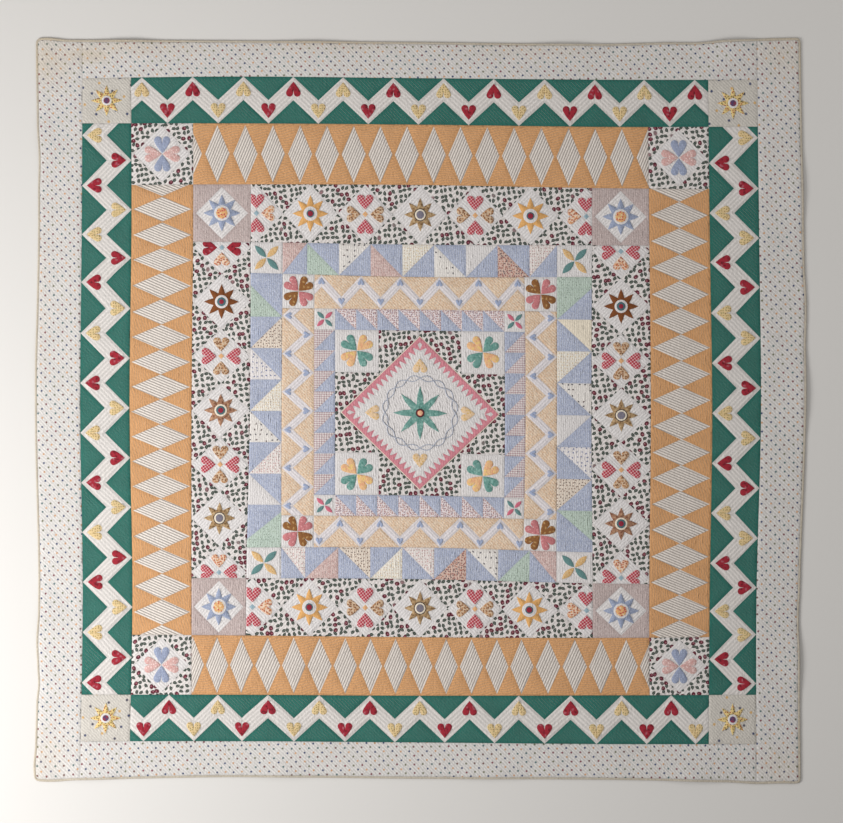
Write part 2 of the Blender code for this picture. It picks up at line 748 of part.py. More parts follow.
def build_tooth_border():
    """The small sawtooth border. Its top and bottom strips carry the corner squares at their ends."""
    ring = len(BORDERS) - 1
    border = BORDERS[ring]
    for side in SIDES:
        panel = Panel("tooth_" + side, "tooth", strip_frame(ring, side))
        length = panel.frame.length
        start, end = 0.0, length
        if side in ("top", "bottom"):
            start, end = border.left, length - border.right
            draw_rectangle(panel, 0.0, start, SMALL_CROWN, FLAT_SHARE)
            draw_rectangle(panel, end, length, SMALL_CROWN, FLAT_SHARE)
        period = (end - start) / TOOTH_COUNT
        for number in range(TOOTH_COUNT):
            left = start + number * period
            draw_half_square(panel, left, left + period, side in ("top", "right"), SMALL_CROWN)
        panel.build()


def centre_tips():
    """The medallion's four tips, in the centre square's own frame."""
    length, width = CENTRE_RIGHT - CENTRE_LEFT, CENTRE_TOP - CENTRE_BOTTOM
    edge = DIAMOND_TIP_MARGIN
    return [(length / 2, edge), (length - edge, width / 2), (length / 2, width - edge), (edge, width / 2)]


def build_centre():
    """The centre: a medallion on point and four corner pieces round it."""
    length, width = CENTRE_RIGHT - CENTRE_LEFT, CENTRE_TOP - CENTRE_BOTTOM
    middle_s, middle_t = length / 2, width / 2
    tips = centre_tips()
    shrink = 1 - GAP / math.sqrt(2) / (middle_s - DIAMOND_TIP_MARGIN)
    outline = [(middle_s + shrink * (s - middle_s), middle_t + shrink * (t - middle_t)) for s, t in tips]
    frame = Frame(length, width, (CENTRE_LEFT, CENTRE_TOP), (1, 0), (0, -1))
    medallion = Panel("centre_medallion", "centre", frame, outline)
    inside = 1 - MEDALLION_EDGING * math.sqrt(2) / (middle_s - DIAMOND_TIP_MARGIN)
    ground = [(middle_s + inside * (s - middle_s), middle_t + inside * (t - middle_t)) for s, t in tips]
    medallion.patch(ground, CROWN, MEDALLION_FLAT_SHARE)
    for radius, height in ((RING_RADIUS, PATCH_SEAM_HEIGHT), (STAR_RADIUS, CROWN)):
        circle = []
        for number in range(RING_SIDES + 1):
            angle = 2 * math.pi * number / RING_SIDES
            circle.append((middle_s + radius * math.cos(angle), middle_t + radius * math.sin(angle)))
        medallion.crest(circle, height)
    medallion.build()
    for corner in CORNERS:
        build_centre_corner(corner, middle_s, middle_t)


def build_centre_corner(corner, middle_s, middle_t):
    """A corner of the centre: a white square between two print triangles, cut off by the medallion."""
    left, top = corner.endswith("left"), corner.startswith("top")
    start = (CENTRE_LEFT if left else CENTRE_RIGHT, CENTRE_TOP if top else CENTRE_BOTTOM)
    frame = Frame(middle_s, middle_t, start, (1 if left else -1, 0), (0, -1 if top else 1))
    half = GAP / 2
    edge = DIAMOND_TIP_MARGIN
    slope = (middle_t - edge) / (middle_s - edge)
    cut_s, cut_t = middle_s - half, middle_t - half
    outline = [
        (half, half), (cut_s, half), (cut_s, edge - half - half * slope),
        (edge - half - half / slope, cut_t), (half, cut_t),
    ]
    panel = Panel("centre_corner_" + corner, "block", frame, outline)
    square_s, square_t = (middle_s + edge) / 2 - GAP, (middle_t + edge) / 2 - GAP
    square = [(half, half), (square_s, half), (square_s - half, square_t - half), (half, square_t)]
    panel.patch(square, CROWN, FLAT_SHARE)
    past, along = PRINT_CROWN_SHARES
    panel.crest([(square_s + past * (middle_s - square_s), along * square_t)], SMALL_CROWN)
    panel.crest([(along * square_s, square_t + past * (middle_t - square_t))], SMALL_CROWN)
    panel.build()


def main():
    """Empties the scene and builds the quilt from the outside in."""
    for item in list(bpy.data.objects):
        bpy.data.objects.remove(item, do_unlink=True)
    for side in SIDES:
        build_binding(side)
    build_outer_border()
    build_border(1, draw_green, "outer", draw_small_block)
    build_border(2, draw_orange, "star", draw_square_on_point)
    build_border(3, draw_star, "lilac", draw_square_on_point)
    build_border(4, draw_blue, "block", draw_small_block)
    build_border(5, draw_yellow, "block", draw_small_block)
    build_tooth_border()
    build_centre()


main()
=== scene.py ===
"""The looks of a patchwork and applique sampler quilt, laid flat with its face up.

Every panel of the quilt is sewn again here over its plain solid: the same outline, with its patches, its
applique and its close rows of hand quilting raised in the mesh, and its cottons as node materials.

A panel is drawn in its own rectangle, with s along it and t across it from its outer seam inwards. The layout
is the whole quilt with straight seams, x to the right and y towards its head. Both are in millimetres. The
meshes are in metres.
"""
import logging
import math
from dataclasses import dataclass, field
from enum import Enum
from typing import Any, Iterable, NamedTuple, Optional, Sequence

import bpy
import numpy as np
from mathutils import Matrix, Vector
from mathutils.geometry import delaunay_2d_cdt
from mathutils.kdtree import KDTree


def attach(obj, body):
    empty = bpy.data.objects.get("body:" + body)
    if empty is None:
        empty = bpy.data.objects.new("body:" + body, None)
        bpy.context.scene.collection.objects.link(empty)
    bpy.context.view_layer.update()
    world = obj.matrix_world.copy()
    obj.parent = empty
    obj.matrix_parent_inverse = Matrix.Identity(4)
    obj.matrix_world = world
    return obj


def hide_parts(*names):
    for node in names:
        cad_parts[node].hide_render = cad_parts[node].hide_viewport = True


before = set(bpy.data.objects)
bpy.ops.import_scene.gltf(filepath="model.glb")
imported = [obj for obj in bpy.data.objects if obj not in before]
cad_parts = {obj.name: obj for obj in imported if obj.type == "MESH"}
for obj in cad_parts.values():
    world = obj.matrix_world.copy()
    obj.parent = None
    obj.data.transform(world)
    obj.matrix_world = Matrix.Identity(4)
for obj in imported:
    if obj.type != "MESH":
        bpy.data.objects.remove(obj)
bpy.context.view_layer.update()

LOG = logging.getLogger("quilt")
BODY = "root"
METRES = 0.001  # in a millimetre
MILLIMETRES = 1000.0  # in a metre
CREASE = 62.0  # an edge that bends more than this, in degrees, is shaded sharp

Point = tuple[float, float]


class Side(Enum):
    """A side of the quilt."""

    TOP = "top"
    BOTTOM = "bottom"
    LEFT = "left"
    RIGHT = "right"

    @property
    def level(self) -> bool:
        """Whether the side runs across the quilt."""
        return self in (Side.TOP, Side.BOTTOM)

    @property
    def ways(self) -> tuple[Point, Point]:
        """The direction along the side, to the right or to the foot, and the one into the quilt."""
        turn = 1 if self in (Side.BOTTOM, Side.LEFT) else -1
        return ((1, 0), (0, turn)) if self.level else ((0, -1), (turn, 0))


class Corner(Enum):
    """A corner of the quilt."""

    TOP_LEFT = "top_left"
    TOP_RIGHT = "top_right"
    BOTTOM_LEFT = "bottom_left"
    BOTTOM_RIGHT = "bottom_right"

    @property
    def left(self) -> bool:
        """Whether the corner is on the left."""
        return self in (Corner.TOP_LEFT, Corner.BOTTOM_LEFT)

    @property
    def top(self) -> bool:
        """Whether the corner is at the head."""
        return self in (Corner.TOP_LEFT, Corner.TOP_RIGHT)

    @property
    def falling(self) -> bool:
        """Whether the corner is on the diagonal from top left to bottom right."""
        return self.left == self.top

    @property
    def ways(self) -> tuple[Point, Point]:
        """The directions into the quilt, across it and then up or down it."""
        return (1 if self.left else -1, 0), (0, -1 if self.top else 1)


class Border(NamedTuple):
    """How wide a border is on its four sides."""

    name: str
    left: float
    right: float
    top: float
    bottom: float


BORDERS = (
    Border("outer", 141, 135, 116, 114),
    Border("green", 152, 150, 143, 148),
    Border("orange", 190, 187, 190, 183),
    Border("star", 176, 177, 178, 172),
    Border("blue", 103, 109, 98, 98),
    Border("yellow", 101, 100, 106, 98),
    Border("tooth", 62, 64, 65, 65),
)
OUTER, GREEN, ORANGE, STAR, BLUE, YELLOW, TOOTH = range(len(BORDERS))
CENTRE_LEFT, CENTRE_RIGHT = -259.0, 265.0
CENTRE_TOP, CENTRE_BOTTOM = 247.0, -267.0
MOVE = np.array((-5.7, 1.6))  # sets the quilt's bounding box over the origin

# Heights of the face above the underside.
SEAM_HEIGHT = 4.0  # along the seams between panels
PATCH_SEAM_HEIGHT = 4.35  # along the seams inside a panel
CROWN = 5.75  # over the middle of a patch
PUFF_REACH = 5.0  # how far from a seam most of the rise is made
SEAM_GAP = 0.2  # between neighbouring panels, a needle's line that reads as a seam
BINDING_WIDTH = 7.0
CORNER_RADIUS = 14.0

# How far each seam strays from straight, at five evenly spaced places along the quilt. Upright seams are read
# from the head to the foot, and a positive value lies to the right. Level seams are read from left to right,
# and a positive value lies nearer the head. The rows run from the left edge, and from the head.
UPRIGHT_STRAY = np.array((
    (-2, 5, -5, 6, -6), (2, 0, -5, 3, -5), (0, 2, -4, 5, -5), (2, 3, -2, -2, -2), (3, 5, 3, -9, -9),
    (2, 2, -2, -3, -3), (2, 0, -3, -3, -3), (0, 0, 1, 0, 0), (-2, -2, 3, -3, -3), (-2, -2, 3, -6, -6),
    (0, 0, 0, -2, -2), (-2, 0, -2, 2, 2), (-6, 0, 5, 0, 3), (-5, 0, 8, 0, -3), (-3, 3, 9, -5, -5),
    (-3, 8, 14, -5, -3),
), float)
LEVEL_STRAY = np.array((
    (6, 3, -2, -7, 12), (0, 7, 2, -3, -3), (5, 5, 1, -6, -5), (2, 6, 4, -6, -9), (6, 6, -3, -5, -8),
    (14, 9, -5, -5, -5), (8, 6, 0, -8, -8), (8, 6, 0, -8, -9), (6, 6, 3, -11, -11), (8, 8, 2, -9, -11),
    (5, 5, 5, -11, -12), (6, 8, 5, -9, -11), (5, 3, -3, -5, 0), (2, 2, -1, 0, 2), (5, 6, 2, -3, -3),
    (-3, 8, 3, 0, -12),
), float)

# Soft bumps at the quilt's sides, in its outline and in its height, each by its place along the side, how far
# it reaches, and its size.
EDGE_REACH = 110.0  # how far in from the edge they are felt
OUTLINE_WAVES = {
    Side.TOP: ((-1150, 70, 6), (870, 110, -4)),
    Side.LEFT: ((780, 110, -4), (-720, 90, 5), (-850, 60, -4), (-1100, 60, 4)),
    Side.RIGHT: ((330, 130, 4), (-650, 120, -3)),
    Side.BOTTOM: ((1050, 90, 3), (-1130, 80, 4)),
}
RIPPLES = {
    Side.TOP: ((-900, 120, 5.0), (-330, 160, 3.5), (450, 150, 4.5), (960, 110, 6.0)),
    Side.BOTTOM: ((-1010, 120, 5.0), (-420, 150, 4.0), (230, 160, 3.5), (860, 130, 5.5)),
    Side.LEFT: ((820, 140, 4.5), (150, 150, 4.0), (-640, 120, 5.5)),
    Side.RIGHT: ((700, 130, 4.0), (60, 160, 5.5), (-780, 140, 4.5)),
}

# Faint brown age stains: the middle in the layout, half the width and half the height, and the strength.
STAINS = (
    (-1030, 1098, 75, 26, 0.75), (-1140, 1085, 60, 75, 0.55), (-900, 1120, 220, 24, 0.45),
    (-300, 1128, 260, 20, 0.35), (330, 1120, 200, 24, 0.25), (1130, 1100, 80, 60, 0.35),
    (-1150, -1080, 60, 90, 0.22), (-1165, 300, 24, 260, 0.12), (1120, -1090, 70, 50, 0.25),
)


def seam_positions() -> tuple[np.ndarray, np.ndarray]:
    """Works out the straight places of all seams.

    Returns:
        The upright seams from left to right, and the level seams from head to foot.
    """
    lefts, rights, tops, bottoms = [CENTRE_LEFT], [CENTRE_RIGHT], [CENTRE_TOP], [CENTRE_BOTTOM]
    for border in reversed(BORDERS):
        lefts.append(lefts[-1] - border.left)
        rights.append(rights[-1] + border.right)
        tops.append(tops[-1] + border.top)
        bottoms.append(bottoms[-1] - border.bottom)
    return np.array(lefts[::-1] + rights), np.array(tops[::-1] + bottoms)


UPRIGHT_SEAMS, LEVEL_SEAMS = seam_positions()
LEFT_EDGE, RIGHT_EDGE = UPRIGHT_SEAMS[0], UPRIGHT_SEAMS[-1]
TOP_EDGE, BOTTOM_EDGE = LEVEL_SEAMS[0], LEVEL_SEAMS[-1]


def bell(distance: np.ndarray, reach: float) -> np.ndarray:
    """A smooth bump that is 1 at its middle and 0 at its reach."""
    return 0.5 + 0.5 * np.cos(np.pi * np.minimum(np.abs(distance) / reach, 1.0))


def smooth_between(rows: np.ndarray, place: np.ndarray) -> np.ndarray:
    """Reads a smooth curve through the evenly spaced values of each row.

    Args:
        rows: One row of values for each place.
        place: Where to read each row, counting from 0 at its first value.

    Returns:
        One value for each place.
    """
    last = rows.shape[1] - 1
    place = np.clip(place, 0.0, last)
    index = np.minimum(place.astype(int), last - 1)
    share = place - index
    lines = np.arange(len(rows))
    before, here, there, after = (rows[lines, np.clip(index + step, 0, last)] for step in (-1, 0, 1, 2))
    return 0.5 * (
        2 * here
        + (there - before) * share
        + (2 * before - 5 * here + 4 * there - after) * share ** 2
        + (3 * here - before - 3 * there + after) * share ** 3
    )


def stray_at(across: np.ndarray, along: np.ndarray, seams: np.ndarray, strays: np.ndarray) -> np.ndarray:
    """How far points stray with the two seams on either side of them.

    Args:
        across: The points' places across the seams.
        along: Their places along the seams, from 0 to 4.
        seams: The straight places of the seams, in order.
        strays: One row of strays for each seam.

    Returns:
        The strays, in millimetres.
    """
    turn = 1.0 if seams[0] < seams[-1] else -1.0
    index = np.searchsorted(turn * seams[1:-1], turn * across)
    share = np.clip((across - seams[index]) / (seams[index + 1] - seams[index]), 0.0, 1.0)
    first = smooth_between(strays[index], along)
    second = smooth_between(strays[index + 1], along)
    return first + share * (second - first)


def from_side(side: Side, points: np.ndarray) -> tuple[np.ndarray, np.ndarray]:
    """How far points lie in from a side of the quilt, and their places along that side."""
    x, y = points[:, 0], points[:, 1]
    inwards = {
        Side.LEFT: x - LEFT_EDGE,
        Side.RIGHT: RIGHT_EDGE - x,
        Side.TOP: TOP_EDGE - y,
        Side.BOTTOM: y - BOTTOM_EDGE,
    }
    return inwards[side], x if side.level else y


def lie(points: np.ndarray) -> np.ndarray:
    """Moves points of the straight layout to where they lie on the real, slightly uneven quilt."""
    points = np.asarray(points, float)
    x, y = points[:, 0], points[:, 1]
    down = 4 * (TOP_EDGE - y) / (TOP_EDGE - BOTTOM_EDGE)
    right = 4 * (x - LEFT_EDGE) / (RIGHT_EDGE - LEFT_EDGE)
    shift = np.stack((
        stray_at(x, down, UPRIGHT_SEAMS, UPRIGHT_STRAY),
        stray_at(y, right, LEVEL_SEAMS, LEVEL_STRAY),
    ), axis=1)
    for side, waves in OUTLINE_WAVES.items():
        inwards, along = from_side(side, points)
        for place, reach, size in waves:
            push = size * bell(along - place, reach) * np.maximum(0.0, 1 - inwards / EDGE_REACH)
            shift -= push[:, None] * np.array(side.ways[1])
    middles = np.stack((
        np.where(x > 0, RIGHT_EDGE - CORNER_RADIUS, LEFT_EDGE + CORNER_RADIUS),
        np.where(y > 0, TOP_EDGE - CORNER_RADIUS, BOTTOM_EDGE + CORNER_RADIUS),
    ), axis=1)
    out = (points - middles) * np.sign(middles)
    in_corner = (out > 0).all(axis=1)
    pull = np.where(in_corner, out.max(axis=1) / np.maximum(np.hypot(out[:, 0], out[:, 1]), 1e-9), 1.0)
    return middles + (points - middles) * pull[:, None] + shift + MOVE


def lift(points: np.ndarray) -> np.ndarray:
    """How far the quilt is off the ground at points of the straight layout."""
    height = np.zeros(len(points))
    for side, ripples in RIPPLES.items():
        inwards, along = from_side(side, points)
        for place, reach, size in ripples:
            height += size * bell(along - place, reach) * bell(inwards, EDGE_REACH)
    return height


def stain(points: np.ndarray) -> np.ndarray:
    """How stained the cotton is at points of the straight layout, from 0 to 1."""
    depth = np.zeros(len(points))
    for x, y, wide, high, strength in STAINS:
        away = ((points[:, 0] - x) / wide) ** 2 + ((points[:, 1] - y) / high) ** 2
        depth = np.maximum(depth, strength * np.exp(-away))
    return depth


def chance_at(points: np.ndarray) -> np.ndarray:
    """A steady but random-looking value from 0 to 1 for each point."""
    return np.modf(np.abs(np.sin(points @ np.array((12.9898, 78.233)))) * 43758.5453)[0]


def hex_linear(code: str) -> tuple[float, float, float, float]:
    """Turns an sRGB hex value into a linear colour.

    Args:
        code: The colour, such as "#c8b090".

    Returns:
        Red, green, blue and full alpha.
    """
    shares = [int(code[start:start + 2], 16) / 255 for start in (1, 3, 5)]
    red, green, blue = (s / 12.92 if s <= 0.04045 else ((s + 0.055) / 1.055) ** 2.4 for s in shares)
    return red, green, blue, 1.0


class Print(Enum):
    """What is printed or woven into a cotton, and what draws it."""

    PLAIN = "plain"
    EVEN_DOTS = "even_dots"  # two staggered sets of dots
    BERRIES = "berries"  # leaves and berries, tossed
    CHECK = "check"  # two sets of crossing lines
    STRIPES = "stripes"
    FLECKS = "flecks"  # small loose marks


LAY = "lay"  # where a point is in the straight layout, in metres
# The groove also sets the painted shade along the rows and seams: the cotton is drawn darker towards -1.
GROOVE = "groove"  # from -1 along a row of stitches to 1 midway between two rows
AGE = "age"  # how stained the cotton is
RUN = "run"  # how far along the rows of stitches a point is, in metres


def add_node(tree: bpy.types.NodeTree, kind: str, *values: Any, **settings: Any) -> Any:
    """Adds a node.

    Args:
        tree: The node tree that it goes in.
        kind: The node's type, and after a point its operation, where it has one.
        *values: For its inputs in use, in order, a socket to link or a value to set. A dict names its inputs.
        **settings: The node's own properties.

    Returns:
        The node.
    """
    kind, _, operation = kind.partition(".")
    node = tree.nodes.new("ShaderNode" + kind)
    for name, value in (settings | ({"operation": operation} if operation else {})).items():
        setattr(node, name, value)
    by_name = values[0] if values and isinstance(values[0], dict) else {}
    sockets = [node.inputs[name] for name in by_name] or [socket for socket in node.inputs if socket.enabled]
    for socket, value in zip(sockets, by_name.values() or values):
        if isinstance(value, bpy.types.NodeSocket):
            tree.links.new(value, socket)
        else:
            socket.default_value = value
    return node


@dataclass(frozen=True)
class Cotton:
    """A quilting cotton: plain-woven and washed soft, so it is matt with a faint sheen at its edges.

    Colours are sRGB hex, and sizes are in millimetres.
    """

    name: str
    ground: str
    kind: Print = Print.PLAIN
    inks: tuple[str, ...] = ()
    pitch: float = 10.0  # how far apart the print's marks are
    mark: float = 3.0  # how wide a mark is
    angle: float = 0.0  # how far the print is turned, in degrees
    jitter: float = 0.8  # how loosely the marks are tossed, from 0 to 1
    cover: float = 1.0  # the share of loose marks that are printed
    fade: float = 0.10  # how strongly the ground's colour wanders, as a share

    def material(self) -> bpy.types.Material:
        """The cotton's material, made once."""
        made = bpy.data.materials.get(self.name)
        return made or Printing(self).material


@dataclass
class Printing:
    """Makes the node material of one cotton.

    Real quilting cotton has a thread every 0.35 mm, which is far too fine to show. Its slubs are drawn as
    streaks 1.6 mm across instead, along the warp and the weft. Sizes are in millimetres.
    """

    cotton: Cotton
    slub: float = 1.6  # the width of a drawn thread
    slub_length: float = 14.0
    blotch: float = 60.0  # the size of the fading's blotches
    # The crinkles are bumped, and their light and shade is also painted into the cotton's colour.
    crinkle: float = 6.5  # the size of the small crinkles that washing leaves between stitches
    # Painted shade: the cotton's colour is darkened along the rows of stitches and at the seams, where the
    # hollows fall into shade.
    groove_shade: float = 0.30  # how much darker the cotton is along a row of stitches
    stitch: float = 4.2  # from one stitch to the next
    # The quilting thread. Real thread is 0.3 mm thick, too fine to show, so it is drawn about 1 mm wide.
    thread_ink: str = "#e2ddd4"
    stain_ink: str = "#b59a6a"  # an age stain

    def __post_init__(self) -> None:
        """Makes the material."""
        self.material = bpy.data.materials.new(self.cotton.name)
        self.material.use_nodes = True
        self.tree = self.material.node_tree
        self.tree.nodes.clear()
        self.lay = add_node(self.tree, "Attribute", attribute_name=LAY).outputs["Vector"]
        self.dress()

    def wire(self, kind: str, *values: Any, **settings: Any) -> Any:
        """Adds a node as add_node does, and returns its first output in use."""
        node = add_node(self.tree, kind, *values, **settings)
        return next(socket for socket in node.outputs if socket.enabled)

    def note(self, name: str) -> Any:
        """Reads a number that the mesh carries."""
        return add_node(self.tree, "Attribute", attribute_name=name).outputs["Fac"]

    def parts(self, vector: Any) -> tuple[Any, Any]:
        """A vector's x and y."""
        return tuple(add_node(self.tree, "SeparateXYZ", vector).outputs)[:2]

    def scaled(self, across: float, along: Optional[float] = None, angle: float = 0.0) -> Any:
        """The layout's coordinates counted in steps.

        Args:
            across: The step along x, in millimetres.
            along: The step along y, the same where it isn't given.
            angle: How far the steps are turned, in degrees.

        Returns:
            The socket of the turned and scaled coordinates.
        """
        source = self.lay
        if angle:
            links = {"Vector": source, "Angle": math.radians(-angle)}
            source = self.wire("VectorRotate", links, rotation_type="Z_AXIS")
        scale = (MILLIMETRES / across, MILLIMETRES / (along or across), 1.0)
        return self.wire("VectorMath.MULTIPLY", source, scale)

    def cloudy(self, across: float, along: Optional[float], detail: float, roughness: float = 0.5) -> Any:
        """Soft noise from 0 to 1, with clouds of the given sizes."""
        links = {"Vector": self.scaled(across, along), "Scale": 1.0, "Detail": detail, "Roughness": roughness}
        return self.wire("TexNoise", links, noise_dimensions="2D")

    def tint(self, factor: Any, first: Any, second: Any, blend: str = "MIX") -> Any:
        """Mixes two colours."""
        return self.wire("Mix", factor, first, second, data_type="RGBA", blend_type=blend)

    def times(self, first: Any, *others: Any) -> Any:
        """Multiplies numbers, one by one."""
        for other in others:
            first = self.wire("Math.MULTIPLY", first, other)
        return first

    def around(self, value: Any, middle: float, strength: float) -> Any:
        """A factor round 1, from a value that swings round its middle."""
        return self.wire("Math.MULTIPLY_ADD", self.wire("Math.SUBTRACT", value, middle), strength, 1.0)

    def below(self, value: Any, limit: float, softness: float) -> Any:
        """A soft-edged mask that is 1 where the value is under the limit."""
        return self.wire("MapRange", value, limit - softness, limit + softness, 1.0, 0.0, clamp=True)

    def inked(self, source: Any, inks: Sequence[str]) -> Any:
        """Picks one of several inks by a value from 0 to 1."""
        node = add_node(self.tree, "ValToRGB", source)
        ramp = node.color_ramp
        ramp.interpolation = "CONSTANT"
        while len(ramp.elements) < len(inks):
            ramp.elements.new(1.0)
        for number, ink in enumerate(inks):
            ramp.elements[number].position = number / len(inks)
            ramp.elements[number].color = hex_linear(ink)
        return node.outputs[0]

    def even_dots(self, colour: Any) -> Any:
        """Two staggered sets of printed dots. The second set takes its first two inks by turns."""
        cotton = self.cotton
        steps = self.scaled(cotton.pitch, cotton.pitch * 1.03, cotton.angle)
        loose = cotton.jitter * 0.2
        for shift, inks in ((0.0, cotton.inks[2:]), (0.5, cotton.inks[:2])):
            moved = self.wire("VectorMath.ADD", steps, (shift, shift, 0.0))
            cell = self.wire("VectorMath.FLOOR", moved)
            noise = add_node(self.tree, "TexWhiteNoise", cell, noise_dimensions="3D")
            nudge = self.wire("VectorMath.SUBTRACT", noise.outputs["Color"], (0.5, 0.5, 0.5))
            nudge = self.wire("VectorMath.MULTIPLY", nudge, (loose, loose, 0.0))
            away = self.wire("VectorMath.SUBTRACT", moved, cell)
            away = self.wire("VectorMath.SUBTRACT", away, (0.5, 0.5, 0.0))
            away = self.wire("VectorMath.SUBTRACT", away, nudge)
            away = self.wire("VectorMath.MULTIPLY", away, (1.0, 1.0, 0.0))
            radius = cotton.mark / 2 / cotton.pitch
            mask = self.below(self.wire("VectorMath.LENGTH", away), radius, radius * 0.35)
            if shift:
                turn = self.wire("Math.FLOORED_MODULO", self.wire("Math.ADD", *self.parts(cell)), 2.0)
                ink = self.tint(turn, *map(hex_linear, inks))
            else:
                ink = self.inked(noise.outputs["Value"], inks)
            colour = self.tint(mask, colour, ink)
        return colour

    def tossed(self) -> tuple[Any, Any, Any]:
        """Loose marks, one to a cell.

        Returns:
            The place from the nearest mark's middle in pitches, turned at random, and two random values.
        """
        steps = self.scaled(self.cotton.pitch, None, self.cotton.angle)
        links = {"Vector": steps, "Scale": 1.0, "Randomness": self.cotton.jitter}
        cells = add_node(self.tree, "TexVoronoi", links, voronoi_dimensions="2D", feature="F1")
        away = self.wire("VectorMath.SUBTRACT", steps, cells.outputs["Position"])
        turn, chance, pick = add_node(self.tree, "SeparateColor", cells.outputs["Color"]).outputs
        links = {"Vector": away, "Angle": self.times(turn, 2 * math.pi)}
        return self.wire("VectorRotate", links, rotation_type="Z_AXIS"), chance, pick

    def flecks(self, colour: Any) -> Any:
        """Small loose marks in the print's inks."""
        cotton = self.cotton
        place, chance, pick = self.tossed()
        oval = self.wire("VectorMath.MULTIPLY", place, (0.75, 1.25, 0.0))
        radius = cotton.mark / 2 / cotton.pitch
        mask = self.below(self.wire("VectorMath.LENGTH", oval), radius, radius * 0.4)
        mask = self.times(mask, self.below(chance, cotton.cover, 0.01))
        return self.tint(mask, colour, self.inked(pick, cotton.inks))

    def berries(self, colour: Any) -> Any:
        """Tossed slim leaves with a lighter vein, and one berry to every four or five of them.

        The inks are the leaf's, the berry's, the berry's light and the vein's.
        """
        leaf_ink, berry_ink, light_ink, vein_ink = map(hex_linear, self.cotton.inks)
        place, chance, _ = self.tossed()
        x, y = self.parts(place)
        is_berry = self.below(chance, 0.21, 0.01)
        is_leaf = self.wire("Math.SUBTRACT", 1.0, is_berry)
        # A leaf is a lens 0.96 of a pitch long and 0.6 wide, with a small lobe at its side.
        bend = self.wire("Math.ABSOLUTE", self.wire("Math.ADD", y, self.times(x, x, 0.3)))
        lens = self.wire("Math.ADD", bend, self.times(x, x, 1.3))
        lobe = self.wire("VectorMath.DISTANCE", place, (-0.16, 0.17, 0.0))
        leaf = self.wire("Math.MAXIMUM", self.below(lens, 0.30, 0.03), self.below(lobe, 0.14, 0.03))
        colour = self.tint(self.times(leaf, is_leaf), colour, leaf_ink)
        vein = self.below(bend, 0.045, 0.03)
        vein = self.times(vein, self.below(self.wire("Math.ABSOLUTE", x), 0.30, 0.05), is_leaf, 0.6)
        colour = self.tint(vein, colour, vein_ink)
        oval = self.wire("VectorMath.MULTIPLY", place, (0.85, 1.05, 0.0))
        berry = self.below(self.wire("VectorMath.LENGTH", oval), 0.41, 0.03)
        colour = self.tint(self.times(berry, is_berry), colour, berry_ink)
        light = self.below(self.wire("VectorMath.DISTANCE", place, (0.08, 0.06, 0.0)), 0.13, 0.05)
        return self.tint(self.times(light, is_berry, 0.8), colour, light_ink)

    def lines(self, angle: float) -> Any:
        """A mask of even lines, a mark wide and a pitch apart, across the given angle."""
        cotton = self.cotton
        ramp = self.wire("Math.FRACT", self.parts(self.scaled(cotton.pitch, None, angle))[0])
        away = self.wire("Math.ABSOLUTE", self.wire("Math.SUBTRACT", ramp, 0.5))
        half = cotton.mark / 2 / cotton.pitch
        return self.below(away, half, min(0.08, half * 0.5))

    def stripes(self, colour: Any) -> Any:
        """Even stripes along the cotton's angle."""
        return self.tint(self.lines(self.cotton.angle), colour, hex_linear(self.cotton.inks[0]))

    def check(self, colour: Any) -> Any:
        """Two sets of crossing lines, which are deeper where they cross."""
        first, second = self.lines(self.cotton.angle), self.lines(self.cotton.angle + 90)
        either = self.times(self.wire("Math.ADD", first, second), 0.6)
        return self.tint(either, colour, hex_linear(self.cotton.inks[0]))

    def stitches(self, groove: Any) -> Any:
        """A mask of running stitches along the rows, half as strong as the bare thread."""
        steps = self.wire("Math.FRACT", self.times(self.note(RUN), MILLIMETRES / self.stitch))
        away = self.wire("Math.ABSOLUTE", self.wire("Math.SUBTRACT", steps, 0.5))
        return self.times(self.below(away, 0.29, 0.06), self.below(groove, -0.86, 0.07), 0.5)

    def dress(self) -> None:
        """Draws the cotton: ground, fading, print, age, painted shade in the grooves and the crinkles,
        stitches and thread.
        """
        cotton = self.cotton
        warp = self.cloudy(self.slub, self.slub_length, 2.0)
        weft = self.cloudy(self.slub_length, self.slub, 2.0)
        thread = self.wire("Math.ADD", warp, weft)
        fading = self.cloudy(self.blotch, None, 3.0)
        crinkle = self.cloudy(self.crinkle, None, 1.5, 0.6)
        groove = self.note(GROOVE)
        colour = hex_linear(cotton.ground)
        if cotton.kind is not Print.PLAIN:
            colour = getattr(self, cotton.kind.value)(colour)
        # Painted shade along the rows of stitches and the seams, read from the groove.
        half = self.groove_shade / 2
        groove_painted_shade = self.wire("Math.MULTIPLY_ADD", groove, half, 1.0 - half)
        # The tone takes in the fading, the slubs, the painted shade of the grooves and the painted light and
        # shade of the crinkles.
        tone_and_painted_shade = self.times(self.around(fading, 0.5, cotton.fade * 2), self.around(thread, 1.0, 0.16),
                          self.times(groove_painted_shade, self.around(crinkle, 0.5, 0.22)))
        colour = self.tint(1.0, colour, self.wire("CombineXYZ", tone_and_painted_shade, tone_and_painted_shade, tone_and_painted_shade), "MULTIPLY")
        colour = self.tint(self.stitches(groove), colour, hex_linear(self.thread_ink))
        patchy = self.times(self.note(AGE), self.times(fading, 0.9))
        colour = self.tint(patchy, colour, hex_linear(self.stain_ink))
        # The threads stand 0.35 mm proud, and the crinkles rise and fall by about 1 mm.
        relief = self.wire("Math.MULTIPLY_ADD", thread, 0.35, self.times(crinkle, 3.0))
        shader = self.wire("BsdfPrincipled", {
            "Base Color": colour, "Roughness": 0.88, "Specular IOR Level": 0.25,
            "Sheen Weight": 0.12, "Sheen Roughness": 0.5,
            "Normal": self.wire("Bump", {"Height": relief, "Strength": 0.6, "Distance": METRES}),
        })
        add_node(self.tree, "OutputMaterial", shader)


